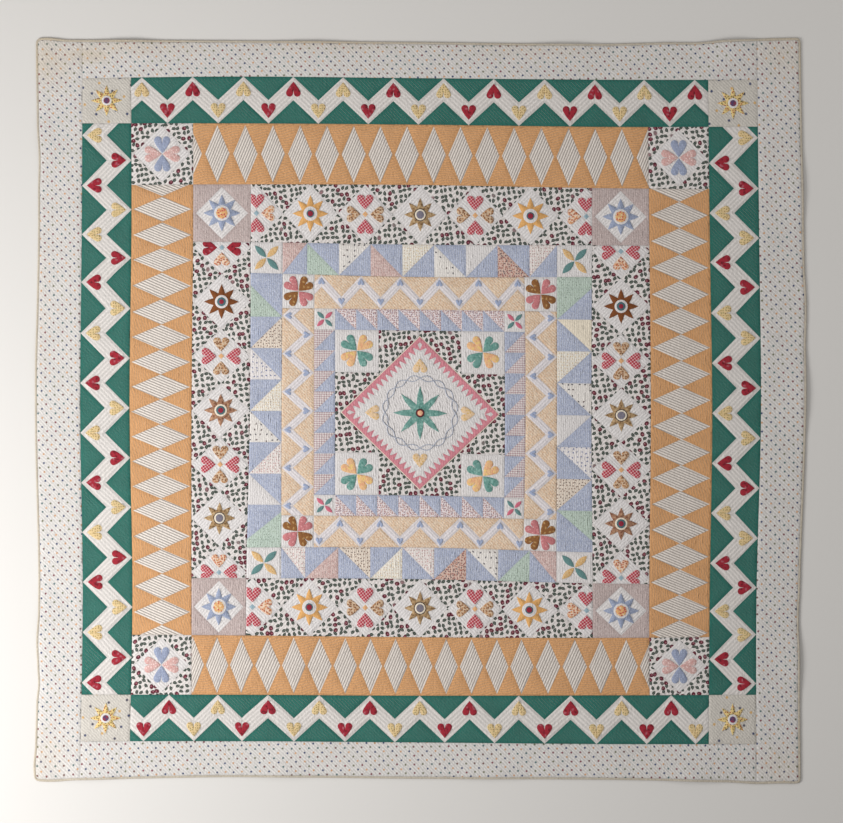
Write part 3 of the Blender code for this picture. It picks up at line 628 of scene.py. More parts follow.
# The quilt's cottons.
def flecked(name: str, ground: str, inks: str, pitch: float, mark: float, **more: float) -> Cotton:
    """A cotton printed with small loose marks in a few inks."""
    return Cotton(name, ground, Print.FLECKS, tuple(inks.split()), pitch, mark, **more)


DOTTED = Cotton("dotted_white_cotton", "#cfcbc7", Print.EVEN_DOTS,
                ("#3a4668", "#c49670", "#6e4a44", "#707058", "#7c4048", "#506a6c"),
                pitch=27, mark=6.2, angle=1.5, jitter=0.45, fade=0.06)
SPARSE_DOTTED = Cotton("sparse_dotted_cotton", "#c6c0b7", Print.EVEN_DOTS,
                       ("#3b4464", "#c9a169", "#3b4464", "#4c4a58"),
                       pitch=58, mark=8.0, angle=12, jitter=1.0, fade=0.06)
BINDING_WHITE = Cotton("folded_binding_cotton", "#bab0a0", fade=0.12)
REVERSE = Cotton("reverse_muslin", "#d9d2c4", fade=0.08)
BAND_WHITE = Cotton("band_white_cotton", "#d2ccc7", fade=0.05)
GREEN_CLOTH = Cotton("leaf_green_cotton", "#28665b", fade=0.16)
RED_MOTTLED = flecked("mottled_red_cotton", "#982230", "#6c1320 #7d1a28 #8c1e2e #a35660", 10, 7,
                      jitter=1.0, cover=0.7)
GOLD_DOTTED = flecked("gold_dotted_cotton", "#d4ba8b", "#9a8248 #8a6b3c #7c7a4a", 7.5, 3.4, jitter=0.5)
STAR_YELLOW = flecked("yellow_star_print", "#dcc182", "#7c3f2a #4f4a2c #a8452e #7c6a3a", 7.5, 4.0,
                      jitter=0.7)
PLUM = flecked("plum_cotton", "#6b3f55", "#8c2f42 #4c3f66", 9, 7)
ORANGE_CLOTH = Cotton("orange_cotton", "#cb9868", fade=0.12)
WOVEN_STRIPE = Cotton("level_stripe_ticking", "#e1d7ce", Print.STRIPES, ("#9f968e",), pitch=7.6, mark=3.0,
                      angle=-22.5, fade=0.05)
SIDE_STRIPE = Cotton("side_stripe_ticking", "#e1d7ce", Print.STRIPES, ("#9f968e",), pitch=7.6, mark=3.0,
                     angle=67.5, fade=0.05)
BERRY = Cotton("berry_and_leaf_print", "#dad3cf", Print.BERRIES, ("#34423b", "#5c1f2c", "#b5707c", "#8d8a80"),
               pitch=16, angle=8, jitter=0.5, fade=0.05)
WHITE = Cotton("plain_white_cotton", "#d9d4d2", fade=0.05)
LIGHT_BLUE = flecked("light_blue_cotton", "#9199b0", "#aab4c9", 7, 3, cover=0.6)
PALE_PINK = flecked("pale_pink_print", "#cba6a0", "#ecd2cc #c98f8a", 7, 3.4)
LILAC = flecked("lilac_chambray", "#bbaaa6", "#ad9b97 #c0b1ad", 6, 3.5, fade=0.10)
STAR_BLUE = flecked("blue_star_cotton", "#939cb3", "#aeb6c6", 7, 3, cover=0.6)
BLOSSOM = flecked("orange_blossom_print", "#d9a872", "#b5434c #e3cba4 #c46a58", 7.5, 5, jitter=0.9)
RED_CHECK = Cotton("red_check_gingham", "#e7ccc8", Print.CHECK, ("#a92b3f",), pitch=7.5, mark=5.2, angle=38,
                   fade=0.05)
TAN_PRINT = flecked("tan_heart_print", "#ceb396", "#8f6040 #7c5234 #ae7c52", 7.5, 6.0, jitter=0.8)
PEACH_PRINT = flecked("peach_heart_print", "#e0c6ae", "#bb6a44 #a55c44 #cb8d60", 7.5, 6.0, jitter=0.8)
STAR_ORANGE = Cotton("orange_star_cotton", "#d9a566")
STAR_BROWN = Cotton("brown_star_cotton", "#7a4520", fade=0.2)
STAR_TAN = flecked("tan_star_cotton", "#a38560", "#7a5c3c #bda27c", 9, 6, fade=0.2)
STAR_RUST = flecked("rust_star_cotton", "#9d735b", "#7c4f3a #b68e6e", 9, 6, fade=0.2)
TEAL = Cotton("teal_cotton", "#4a6a70")
DEEP_RED = Cotton("deep_red_cotton", "#8c2236")
CREAM = Cotton("cream_cotton", "#e6dac6")
SLATE = Cotton("slate_cotton", "#77727e")
UMBER = Cotton("umber_cotton", "#3c2e2a")
SQUARE_ORANGE = Cotton("small_orange_square", "#d9a878")
SQUARE_TEAL = Cotton("small_teal_square", "#93aab4")
CHAMBRAY = flecked("blue_chambray", "#acb1c3", "#98a2ba #bcc2d0", 5, 2.8, fade=0.12)
YELLOW_PRINT = flecked("yellow_sprig_print", "#dcc3aa", "#cfab8c #d4b391 #e1cfb8", 7, 4.0, jitter=1.0)
PALE_LILAC = Cotton("pale_lilac_cotton", "#dad3d4", fade=0.05)
SMALL_BLUE = Cotton("small_blue_heart_cotton", "#9aa4bd")
TOOTH_CHECK = Cotton("pink_window_check", "#dfd7d4", Print.CHECK, ("#a07c82",), pitch=7.0, mark=2.4,
                     fade=0.05)
TOOTH_PRINT = flecked("pink_fleck_print", "#e2d7d7", "#a8807f #93747e #b98f86", 6.4, 4.2, jitter=0.6,
                      fade=0.05)
LEAF_GREEN = Cotton("leaf_applique_green", "#5f8482")
LEAF_YELLOW = flecked("leaf_applique_yellow", "#d2b080", "#c9964e", 7, 3)
LEAF_PINK = Cotton("leaf_applique_pink", "#c4687a")
BROWN_DOTTED = flecked("brown_dotted_cotton", "#875930", "#b08a58", 15, 6, jitter=0.5, fade=0.2)
ROSE = flecked("rose_cotton", "#bd7678", "#d79a9a #b0686c", 8, 4, cover=0.7)
HEART_GREEN = flecked("heart_green_cotton", "#6a958c", "#86aca2 #55867b", 8, 6, jitter=1.0, cover=0.7)
HEART_ORANGE = flecked("heart_orange_cotton", "#dfb284", "#e2c07a #dba27c", 10, 8, jitter=1.0, cover=0.7)
HEART_GOLD = flecked("heart_gold_cotton", "#dcbe9a", "#d0ab68", 9, 5, cover=0.6)
EDGING_PINK = Cotton("edging_pink_cotton", "#cf858f", fade=0.12)
EDGING_CREAM = Cotton("edging_cream_piping", "#ebe1cd")
FLOSS = Cotton("blue_grey_floss", "#b2b7c4", fade=0.15)
PEACH = Cotton("peach_cotton", "#e6b48c")

# The prints of the blue border's halved squares.
PINK_SMALL = flecked("pink_mauve_print", "#cbb0aa", "#b8948f #dcc8c2", 5.5, 3)
SAGE = flecked("sage_green_print", "#b6c4b8", "#9fb09c #7f8f80", 8, 3, cover=0.7)
WHITE_INK_DOTS = flecked("white_black_dots", "#e0dad4", "#3e3c48 #5c4a4a", 17, 5, jitter=0.45, cover=0.7)
WHITE_BLUE_DOTS = flecked("white_blue_dots", "#e0dad8", "#5f6a94 #8a8fa8", 14, 4.5, jitter=0.45)
WHITE_YELLOW_DOTS = flecked("white_yellow_dots", "#e3dcd0", "#d0b078 #c4a48c", 9, 3, jitter=0.5)
WHITE_PINK_DOTS = flecked("white_pink_dots", "#e0d7d2", "#c08c8c #a8847c", 9, 3.4, jitter=0.6)
CREAM_DARK_DOTS = flecked("cream_dark_dots", "#ddcfc0", "#5a4440 #7c5a4c", 9.5, 3.8, jitter=0.6)
RUST_SMALL = flecked("rust_small_print", "#cfb2a4", "#8c4a48 #5a4a52 #a86a58", 7, 4.2, jitter=0.8)


@dataclass(frozen=True)
class Quilting:
    """Rows of running stitch, which draw the cloth down between soft ridges."""

    angle: float  # the rows' direction in the layout, in degrees from +X towards +Y
    pitch: float = 7.5  # how far apart the rows are
    wander: float = 0.6  # how far a row wanders aside
    wave: float = 110.0  # how long one wandering is
    depth: float = 1.8  # how deep the rows are against the ridges


@dataclass(frozen=True)
class Frame:
    """A panel's own rectangle, laid in the straight layout."""

    length: float  # along s
    width: float  # along t
    start: Point  # the layout's point at s = 0 and t = 0
    along: Point  # the direction of s
    across: Point  # the direction of t

    def place(self, points: np.ndarray) -> np.ndarray:
        """The layout's points for points in the panel."""
        return np.array(self.start) + points @ np.array((self.along, self.across), float)

    def turn(self, x: float, y: float) -> np.ndarray:
        """A direction of the layout as one in the panel."""
        return np.array((x, y), float) @ np.array((self.along, self.across), float).T

    @property
    def middle(self) -> np.ndarray:
        """The rectangle's middle."""
        return np.array((self.length / 2, self.width / 2))

    @property
    def turns_over(self) -> bool:
        """Whether s and t run the other way round from x and y."""
        return self.along[0] * self.across[1] - self.along[1] * self.across[0] < 0


def side_frame(side: Side, ring: int, first: int, width: float) -> Frame:
    """A rectangle along one side of a border.

    Args:
        side: The side.
        ring: The border's number, from the outside in.
        first: The number of the seam at its start, which is that at its end from the other side.
        width: Its width.

    Returns:
        The frame, with s from the left or from the head.
    """
    ends, seams = (UPRIGHT_SEAMS, LEVEL_SEAMS) if side.level else (LEVEL_SEAMS, UPRIGHT_SEAMS)
    start = (ends[first], seams[ring if side in (Side.TOP, Side.LEFT) else -1 - ring])
    return Frame(abs(ends[-1 - first] - ends[first]), width, start if side.level else start[::-1], *side.ways)


def strip_frame(ring: int, side: Side) -> Frame:
    """The frame of a border's strip. The outermost upright and innermost level strips run the full length."""
    first = ring + (ring != (TOOTH if side.level else OUTER))
    return side_frame(side, ring, first, getattr(BORDERS[ring], side.value))


def corner_frame(ring: int, corner: Corner) -> Frame:
    """The frame of a border's corner block, which starts at the block's outer corner."""
    border, other = BORDERS[ring], -1 - ring
    start = (UPRIGHT_SEAMS[ring if corner.left else other], LEVEL_SEAMS[ring if corner.top else other])
    length = border.left if corner.left else border.right
    return Frame(length, border.top if corner.top else border.bottom, start, *corner.ways)


def clip(outline: np.ndarray, low: np.ndarray, high: np.ndarray) -> np.ndarray:
    """The part of an outline inside a rectangle, cut one side at a time."""
    points = [tuple(point) for point in outline]
    for axis in (0, 1):
        for limit, sign in ((low[axis], 1.0), (high[axis], -1.0)):
            kept: list[Point] = []
            for here, there in zip(points, points[1:] + points[:1]):
                here_in, there_in = sign * (here[axis] - limit) >= 0, sign * (there[axis] - limit) >= 0
                if here_in:
                    kept.append(here)
                if here_in != there_in:
                    share = (limit - here[axis]) / (there[axis] - here[axis])
                    crossing = [here[i] + share * (there[i] - here[i]) for i in (0, 1)]
                    crossing[axis] = limit
                    kept.append((crossing[0], crossing[1]))
            points = kept
    return np.array(points, float).reshape(-1, 2)


def stepped(outline: np.ndarray, step: float) -> np.ndarray:
    """A closed outline with added points, so that none are further apart than a step."""
    parts = []
    for here, there in zip(outline, np.roll(outline, -1, axis=0)):
        count = max(1, math.ceil(float(np.hypot(*(there - here))) / step - 1e-6))
        shares = np.arange(count)[:, None] / count
        parts.append(here + shares * (there - here))
    return np.concatenate(parts)


def inside(points: np.ndarray, outline: np.ndarray) -> np.ndarray:
    """Whether each point is inside a closed outline."""
    within = np.zeros(len(points), bool)
    x, y = points[:, 0], points[:, 1]
    for (x1, y1), (x2, y2) in zip(outline, np.roll(outline, -1, axis=0)):
        if y1 == y2:
            continue
        crosses = (y1 > y) != (y2 > y)
        within ^= crosses & (x < x1 + (y - y1) * (x2 - x1) / (y2 - y1))
    return within


def edge_distance(points: np.ndarray, outline: np.ndarray) -> np.ndarray:
    """How far each point is from a closed outline."""
    nearest = np.full(len(points), np.inf)
    for here, there in zip(outline, np.roll(outline, -1, axis=0)):
        run = there - here
        share = np.clip(((points - here) @ run) / max(float(run @ run), 1e-12), 0.0, 1.0)
        gap = points - here - share[:, None] * run
        nearest = np.minimum(nearest, np.hypot(gap[:, 0], gap[:, 1]))
    return nearest


def polygon_area(outline: np.ndarray) -> float:
    """The area inside a closed outline."""
    after = np.roll(outline, -1, axis=0)
    return 0.5 * abs(float((outline[:, 0] * after[:, 1] - after[:, 0] * outline[:, 1]).sum()))


class Near:
    """Finds how far points are from a set of outlines."""

    def __init__(self, outlines: Iterable[np.ndarray], step: float = 2.5) -> None:
        """Takes the outlines.

        Args:
            outlines: The closed outlines.
            step: How closely they are sampled, in millimetres.
        """
        samples = [stepped(outline, step) for outline in outlines]
        self.count = sum(len(sample) for sample in samples)
        self.tree = KDTree(max(self.count, 1))
        for number, (s, t) in enumerate(np.concatenate(samples) if samples else ()):
            self.tree.insert((s, t, 0.0), number)
        self.tree.balance()

    def distance(self, points: np.ndarray) -> np.ndarray:
        """How far each point is from the nearest outline."""
        if not self.count:
            return np.full(len(points), np.inf)
        return np.array([self.tree.find((s, t, 0.0))[2] for s, t in points])


@dataclass
class Piece:
    """One piece of cloth in a panel's face. The last four are an applied piece's."""

    outline: np.ndarray
    cotton: Cotton
    quilting: Optional[Quilting] = None
    seamed: bool = True  # whether a seam runs round it and draws it down
    rise: float = 0.0  # how far it stands above what it is sewn to
    sits: float = 0.0  # how far what it is sewn to stands above the panel's own face
    middle: Optional[np.ndarray] = None
    puffs: tuple[float, ...] = ()  # how far out from its middle its inner rings of points are, as shares


@dataclass
class Net:
    """The points and lines from which a panel's face is meshed."""

    points: list[np.ndarray] = field(default_factory=list)
    heights: list[np.ndarray] = field(default_factory=list)
    grooves: list[np.ndarray] = field(default_factory=list)
    lines: list[np.ndarray] = field(default_factory=list)
    count: int = 0

    def add(self, points: np.ndarray, heights: np.ndarray, groove: float | np.ndarray = 0.0) -> np.ndarray:
        """Adds points with their heights and grooves, and returns their numbers."""
        self.points.append(points)
        self.heights.append(np.broadcast_to(heights, len(points)))
        self.grooves.append(np.broadcast_to(groove, len(points)))
        numbers = np.arange(self.count, self.count + len(points))
        self.count += len(points)
        return numbers

    def close(self, numbers: np.ndarray) -> None:
        """Joins points in a closed loop."""
        self.lines.append(np.column_stack((numbers, np.roll(numbers, -1))))

    def merged(self, grain: float) -> tuple[np.ndarray, np.ndarray, np.ndarray, np.ndarray]:
        """Merges points that are equal to a grain.

        Args:
            grain: The grain, in millimetres.

        Returns:
            The points, their lowest heights, their lowest grooves, and the lines between them.
        """
        points = np.concatenate(self.points)
        _, firsts, numbers = np.unique(
            np.round(points / grain).astype(np.int64), axis=0, return_index=True, return_inverse=True)
        numbers = numbers.reshape(-1)
        height, groove = np.full(len(firsts), np.inf), np.full(len(firsts), np.inf)
        np.minimum.at(height, numbers, np.concatenate(self.heights))
        np.minimum.at(groove, numbers, np.concatenate(self.grooves))
        lines = numbers[np.concatenate(self.lines)]
        lines = np.unique(np.sort(lines[lines[:, 0] != lines[:, 1]], axis=1), axis=0)
        return points[firsts], height, groove, lines


@dataclass
class Panel:
    """One panel: its pieces of cloth, and the mesh made from them."""

    node: str  # the CAD node that it stands for
    frame: Frame
    ground: Cotton
    quilting: Optional[Quilting] = None  # the ground's rows of stitches
    outline: Optional[np.ndarray] = None  # the whole rectangle where it isn't given
    lifted: bool = False  # whether it lies on the soft ripples at the quilt's edge
    flat: Optional[tuple[float, float]] = None  # the size that it was cut to, in metres
    area: Optional[float] = None  # the cut's, in square metres, where it isn't a rectangle
    pieces: list[Piece] = field(default_factory=list)

    rim_step: float = 6.5
    seam_step: float = 7.0
    row_step: float = 7.0
    pucker: float = 0.65  # how unevenly the ridges puff, as a share
    clearance: float = 1.5
    applied_clearance: float = 1.8
    edge_fold: float = 0.8  # how wide the turned edge of an applied piece is
    underside_step: float = 45.0

    def __post_init__(self) -> None:
        """Sets the panel's outline, a hair inside its seams."""
        half = SEAM_GAP / 2
        self.low = np.array((half, half))
        self.high = np.array((self.frame.length - half, self.frame.width - half))
        if self.outline is None:
            (s1, t1), (s2, t2) = self.low, self.high
            self.outline = np.array(((s1, t1), (s2, t1), (s2, t2), (s1, t2)))
        else:
            self.low, self.high = self.outline.min(axis=0), self.outline.max(axis=0)
        self.pieces.insert(0, Piece(self.outline, self.ground, self.quilting))

    def across(self, start: float, end: float) -> list[Point]:
        """The outline of a patch across the whole panel, from the outer seam at its start."""
        return [(start, 0.0), (end, 0.0), (end, self.frame.width), (start, self.frame.width)]

    def patch(self, outline: Sequence[Point] | np.ndarray, cotton: Cotton,
              quilting: Optional[Quilting] = None, seamed: bool = True) -> None:
        """Sews a patch into the panel, cut off at the panel's edge.

        Args:
            outline: Its closed outline.
            cotton: What it is cut from.
            quilting: Its rows of stitches.
            seamed: Whether a seam shows round it.
        """
        cut = clip(np.array(outline, float), self.low, self.high)
        if len(cut) > 2 and polygon_area(cut) > 20.0:
            self.pieces.append(Piece(cut, cotton, quilting, seamed))

    def applique(self, outline: np.ndarray, middle: np.ndarray, cotton: Cotton, rise: float = 0.55,
                 sits: float = 0.0, puffs: tuple[float, ...] = (0.62, 0.25)) -> None:
        """Sews an applied piece onto the panel, with its edge turned under.

        Args:
            outline: Its closed outline.
            middle: Its middle, from which all its edge can be seen.
            cotton: What it is cut from.
            rise: How far it stands up.
            sits: How far what is under it stands up.
            puffs: Its inner rings, as shares of its size.
        """
        cut = clip(outline, self.low + 1.0, self.high - 1.0)
        self.pieces.append(Piece(cut, cotton, None, False, rise, sits, np.asarray(middle, float), puffs))

    def rows(self, number: int, piece: Piece) -> None:
        """Adds one piece's rows of stitches and the ridges between them.

        Args:
            number: The piece's number.
            piece: The piece.
        """
        quilting = piece.quilting
        if quilting is None:
            return
        turn = math.radians(quilting.angle)
        along = self.frame.turn(math.cos(turn), math.sin(turn))
        aside = self.frame.turn(-math.sin(turn), math.cos(turn))
        low_u, high_u = (piece.outline @ along).min(), (piece.outline @ along).max()
        low_v, high_v = (piece.outline @ aside).min(), (piece.outline @ aside).max()
        half = quilting.pitch / 2
        lanes = np.arange(math.floor(low_v / half) - 1, math.ceil(high_v / half) + 2)
        steps = np.arange(math.floor(low_u / self.row_step), math.ceil(high_u / self.row_step) + 1)
        u = np.broadcast_to(steps * self.row_step, (len(lanes), len(steps)))
        sway = quilting.wander * np.sin(2 * np.pi * u / quilting.wave + 0.13 * lanes[:, None])
        v = (lanes * half)[:, None] + sway
        points = u[..., None] * along + v[..., None] * aside
        flat = points.reshape(-1, 2)
        kept = inside(flat, piece.outline)
        kept[kept] = edge_distance(flat[kept], piece.outline) > self.clearance
        for other in self.pieces[number + 1:]:
            margin = self.clearance if other.rise == 0 else self.applied_clearance
            low, high = other.outline.min(axis=0) - margin, other.outline.max(axis=0) + margin
            close = kept & (flat > low).all(axis=1) & (flat < high).all(axis=1)
            if close.any():
                test = flat[close]
                kept[close] = ~inside(test, other.outline) & (edge_distance(test, other.outline) > margin)
        chosen = flat[kept]
        if not len(chosen):
            return
        ridge = np.broadcast_to((lanes % 2)[:, None], u.shape).reshape(-1)[kept]
        groove = np.where(ridge == 1, 1.0, -1.0)
        fade = 1 - np.exp(-self.seams.distance(chosen) / 3.0)
        puff = np.where(ridge == 1, 1 + self.pucker * (2 * chance_at(chosen) - 1), -1.0)
        numbers = self.net.add(chosen, self.base(chosen) + puff * 0.5 * quilting.depth * fade, groove * fade)
        lookup = np.full(len(flat), -1)
        lookup[kept] = numbers
        lookup = lookup.reshape(u.shape)
        first, second = lookup[:, :-1], lookup[:, 1:]
        both = (first >= 0) & (second >= 0)
        self.net.lines.append(np.column_stack((first[both], second[both])))

    def base(self, points: np.ndarray) -> np.ndarray:
        """The puffed height of the panel's face at its points, without rows of stitches."""
        puff = 1 - np.exp(-self.seams.distance(points) / PUFF_REACH)
        drawn = 0.3 * np.exp(-self.applied.distance(points) / 2.5)
        s, t = self.frame.place(points).T
        uneven = 0.22 * np.sin(s / 31 + 1.3 * np.sin(t / 47)) * np.sin(t / 37 + 1.1 * np.sin(s / 53))
        return PATCH_SEAM_HEIGHT + (CROWN - PATCH_SEAM_HEIGHT + uneven) * puff - drawn

    def applied_piece(self, piece: Piece) -> None:
        """Adds an applied piece: its edge, its turned-under fold and its softly filled middle."""
        net, edge = self.net, stepped(piece.outline, 3.5)
        away = edge - piece.middle
        size = float(np.hypot(away[:, 0], away[:, 1]).mean())
        # The grooves given here also set the painted shade: darker along the applied piece's edge, lighter on
        # its fold and middle.
        net.close(net.add(edge, self.base(edge) + piece.sits, -0.4))
        fold = piece.middle + away * (1 - self.edge_fold / size)
        net.close(net.add(fold, self.base(fold) + piece.sits + piece.rise, 0.2))
        for puff in piece.puffs:
            inner = piece.middle + away[::2] * puff
            fill = piece.sits + piece.rise + 0.5 * (1 - puff)
            net.add(inner, self.base(inner) + fill, 0.3)
        if piece.puffs:
            middle = piece.middle[None, :]
            net.add(middle, self.base(middle) + piece.sits + piece.rise + 0.5, 0.3)

    def build(self) -> None:
        self.seams = Near([piece.outline for piece in self.pieces if piece.seamed])
        self.applied = Near([piece.outline for piece in self.pieces if piece.rise])
        self.net = Net()
        for piece in self.pieces:
            if piece.rise:
                self.applied_piece(piece)
                continue
            step = self.rim_step if piece is self.pieces[0] else self.seam_step
            edge = stepped(piece.outline, step)
            height = PATCH_SEAM_HEIGHT if piece.seamed else self.base(edge)
            # A seam's groove of -0.6 paints shade along the seam's ditch.
            self.net.close(self.net.add(edge, height, -0.6 if piece.seamed else 0.0))
        for number, piece in enumerate(self.pieces):
            self.rows(number, piece)
        Shell(self, self.net).make()


@dataclass
class Shell:
    """The closed mesh of a panel: its sewn face, its thin walls and its plain underside."""

    panel: Panel
    net: Net
    grain: float = 0.02  # points closer than this are one, in millimetres

    def face(self) -> tuple[np.ndarray, np.ndarray, np.ndarray, np.ndarray, np.ndarray]:
        """Meshes the panel's face.

        Returns:
            Its points, their heights, their grooves, its triangles, and each triangle's piece.
        """
        given, heights, grooves, lines = self.net.merged(self.grain)
        result = delaunay_2d_cdt([Vector(p) for p in given], lines.tolist(), [], 0, self.grain / 2)
        flat, _, triangles, sources, _, _ = result
        points = np.array([tuple(point) for point in flat])
        height = np.full(len(points), np.nan)
        groove = np.zeros(len(points))
        for number, source in enumerate(sources):
            if source:
                height[number] = heights[source].min()
                groove[number] = grooves[source].min()
        corners = self.trimmed(points, np.array(triangles))
        middles = points[corners].mean(axis=1)
        owners = np.zeros(len(corners), int)
        for number, piece in enumerate(self.panel.pieces):
            owners[inside(middles, piece.outline)] = number
        while np.isnan(height[corners]).any():
            total, count = np.zeros(len(points)), np.zeros(len(points))
            for first, second in ((0, 1), (1, 2), (2, 0), (1, 0), (2, 1), (0, 2)):
                known = ~np.isnan(height[corners[:, second]])
                np.add.at(total, corners[known, first], height[corners[known, second]])
                np.add.at(count, corners[known, first], 1)
            fill = np.isnan(height) & (count > 0)
            height[fill] = total[fill] / count[fill]
        used, numbers = np.unique(corners, return_inverse=True)
        return points[used], height[used], groove[used], numbers.reshape(-1, 3), owners

    @staticmethod
    def open_edges(triangles: np.ndarray) -> tuple[np.ndarray, np.ndarray]:
        """Finds the edges that only one triangle has.

        Args:
            triangles: The triangles.

        Returns:
            Every triangle's three directed edges in turn, and whether each of them is open.
        """
        edges = triangles[:, (0, 1, 1, 2, 2, 0)].reshape(-1, 2)
        size = int(triangles.max()) + 1
        return edges, ~np.isin(edges[:, 0] * size + edges[:, 1], edges[:, 1] * size + edges[:, 0])

    def trimmed(self, points: np.ndarray, triangles: np.ndarray) -> np.ndarray:
        """Drops the slivers that lie along a panel's rim, where its points aren't quite in line.

        Args:
            points: The face's points.
            triangles: Its triangles.

        Returns:
            The triangles that are kept.
        """
        while True:
            edges, is_open = self.open_edges(triangles)
            runs = (points[edges[:, 1]] - points[edges[:, 0]]).reshape(-1, 3, 2)
            lengths = np.hypot(runs[..., 0], runs[..., 1])
            longest = lengths.argmax(axis=1)
            along_rim = is_open.reshape(-1, 3)[np.arange(len(triangles)), longest]
            twice_area = np.abs(runs[:, 0, 0] * runs[:, 1, 1] - runs[:, 0, 1] * runs[:, 1, 0])
            slivers = (twice_area < 2 * self.grain * lengths.max(axis=1)) & along_rim
            if not slivers.any():
                return triangles
            triangles = triangles[~slivers]

    def rim(self, triangles: np.ndarray) -> list[int]:
        """The closed loop of points round a set of triangles, in the triangles' own direction."""
        edges, is_open = self.open_edges(triangles)
        after = dict(edges[is_open].tolist())
        loop = [min(after)]
        for _ in range(len(after) - 1):
            loop.append(after[loop[-1]])
        return loop

    def underside(self, rim: np.ndarray) -> tuple[np.ndarray, list]:
        """Meshes the underside.

        Args:
            rim: The points round it, in order.

        Returns:
            Its points, which start with the rim's, and its triangles.
        """
        low, high = rim.min(axis=0), rim.max(axis=0)
        step = self.panel.underside_step
        columns = [np.arange(low[i] + step / 2, high[i], step) for i in (0, 1)]
        grid = np.stack(np.meshgrid(*columns), axis=-1).reshape(-1, 2)
        grid = grid[inside(grid, rim)]
        grid = grid[edge_distance(grid, rim) > step / 4] if len(grid) else grid
        given = np.concatenate((rim, grid))
        result = delaunay_2d_cdt([Vector(p) for p in given], [], [list(range(len(rim)))], 1, 1e-7)
        order = [source[0] for source in result[3]]
        return given, [tuple(order[corner] for corner in triangle) for triangle in result[2]]

    def make(self) -> None:
        panel = self.panel
        points, height, groove, triangles, owners = self.face()
        rim = self.rim(triangles)
        height[rim] = SEAM_HEIGHT
        below, under_triangles = self.underside(points[rim])
        everywhere, flat_part = np.concatenate((points, below)), np.zeros(len(below))
        layout = panel.frame.place(everywhere)
        heights = np.concatenate((height, flat_part)) + (lift(layout) if panel.lifted else 0.0)
        shift, size = len(points), len(rim)
        faces = [tuple(corner) for corner in triangles.tolist()]
        faces += [tuple(shift + corner for corner in reversed(triangle)) for triangle in under_triangles]
        walls = len(faces)
        for number, here in enumerate(rim):
            after = (number + 1) % size
            faces.append((rim[after], here, shift + number, shift + after))
        if panel.frame.turns_over:
            faces = [tuple(reversed(face)) for face in faces]
        used = list(dict.fromkeys(panel.pieces[owner].cotton for owner in owners))
        slots = {cotton: number for number, cotton in enumerate(used)}
        skin = [slots[panel.pieces[owner].cotton] for owner in owners]
        skin += [len(used)] * len(under_triangles) + [slots.get(panel.pieces[0].cotton, 0)] * size
        mesh = cloth_mesh(panel.node + "_quilted", layout, heights, faces, used + [REVERSE],
                          np.concatenate((groove, flat_part)))
        mesh.polygons.foreach_set("material_index", skin)
        self.measure_rows(mesh, everywhere, owners)
        unfold(mesh, everywhere, len(triangles), walls, panel.frame)
        place_object(mesh, panel.node)
        LOG.info("%s: %d faces, %d cottons", panel.node, len(faces), len(used))

    def measure_rows(self, mesh: bpy.types.Mesh, points: np.ndarray, owners: np.ndarray) -> None:
        """Writes how far along its piece's rows of stitches each face corner is.

        Args:
            mesh: The mesh, whose first faces are its sewn face.
            points: Its points in the panel.
            owners: The number of the piece that each face of the sewn face belongs to.
        """
        ways = np.zeros((len(self.panel.pieces), 2))
        for number, piece in enumerate(self.panel.pieces):
            if piece.quilting:
                turn = math.radians(piece.quilting.angle)
                ways[number] = self.panel.frame.turn(math.cos(turn), math.sin(turn))
        corner_point, corner_face = face_corners(mesh)
        run = np.zeros(len(corner_point))
        sewn = corner_face < len(owners)
        run[sewn] = (points[corner_point[sewn]] * ways[owners[corner_face[sewn]]]).sum(axis=1) * METRES
        mesh.attributes.new(RUN, "FLOAT", "CORNER").data.foreach_set("value", run.astype(np.float32))


def face_corners(mesh: bpy.types.Mesh) -> tuple[np.ndarray, np.ndarray]:
    """The number of the point and of the face at every face corner of a mesh."""
    corner_point = np.empty(len(mesh.loops), int)
    mesh.loops.foreach_get("vertex_index", corner_point)
    totals = np.empty(len(mesh.polygons), int)
    mesh.polygons.foreach_get("loop_total", totals)
    return corner_point, np.repeat(np.arange(len(totals)), totals)


def cloth_mesh(name: str, layout: np.ndarray, heights: np.ndarray, faces: list, cottons: Sequence[Cotton],
               groove: Optional[np.ndarray] = None) -> bpy.types.Mesh:
    """Makes a mesh of cloth, and writes on its points what the cottons need: their place, groove and age.

    Args:
        name: The mesh's name.
        layout: Its points' places in the straight layout, in millimetres.
        heights: Their heights.
        faces: Its faces.
        cottons: Its cottons.
        groove: Its points' grooves, all 0 where they aren't given.

    Returns:
        The mesh.
    """
    mesh = bpy.data.meshes.new(name)
    mesh.from_pydata((np.column_stack((lie(layout), heights)) * METRES).tolist(), [], faces)
    for cotton in cottons:
        mesh.materials.append(cotton.material())
    none = np.zeros(len(layout))
    where = (np.column_stack((layout, none)) * METRES).astype(np.float32)
    mesh.attributes.new(LAY, "FLOAT_VECTOR", "POINT").data.foreach_set("vector", where.ravel())
    for kind, values in ((GROOVE, none if groove is None else groove), (AGE, stain(layout))):
        mesh.attributes.new(kind, "FLOAT", "POINT").data.foreach_set("value", values.astype(np.float32))
    return mesh


def tube(sections: int, around: int, first: int = 0, closed: bool = False) -> list[tuple[int, ...]]:
    """The faces of a tube's sides.

    Args:
        sections: How many sections it has.
        around: How many points are round each.
        first: The number of its first point.
        closed: Whether its last section meets its first.

    Returns:
        The faces.
    """
    faces = []
    for number in range(sections if closed else sections - 1):
        here, there = first + number * around, first + (number + 1) % sections * around
        faces += [(here + i, here + j, there + j, there + i) for i, j in
                  ((i, (i + 1) % around) for i in range(around))]
    return faces


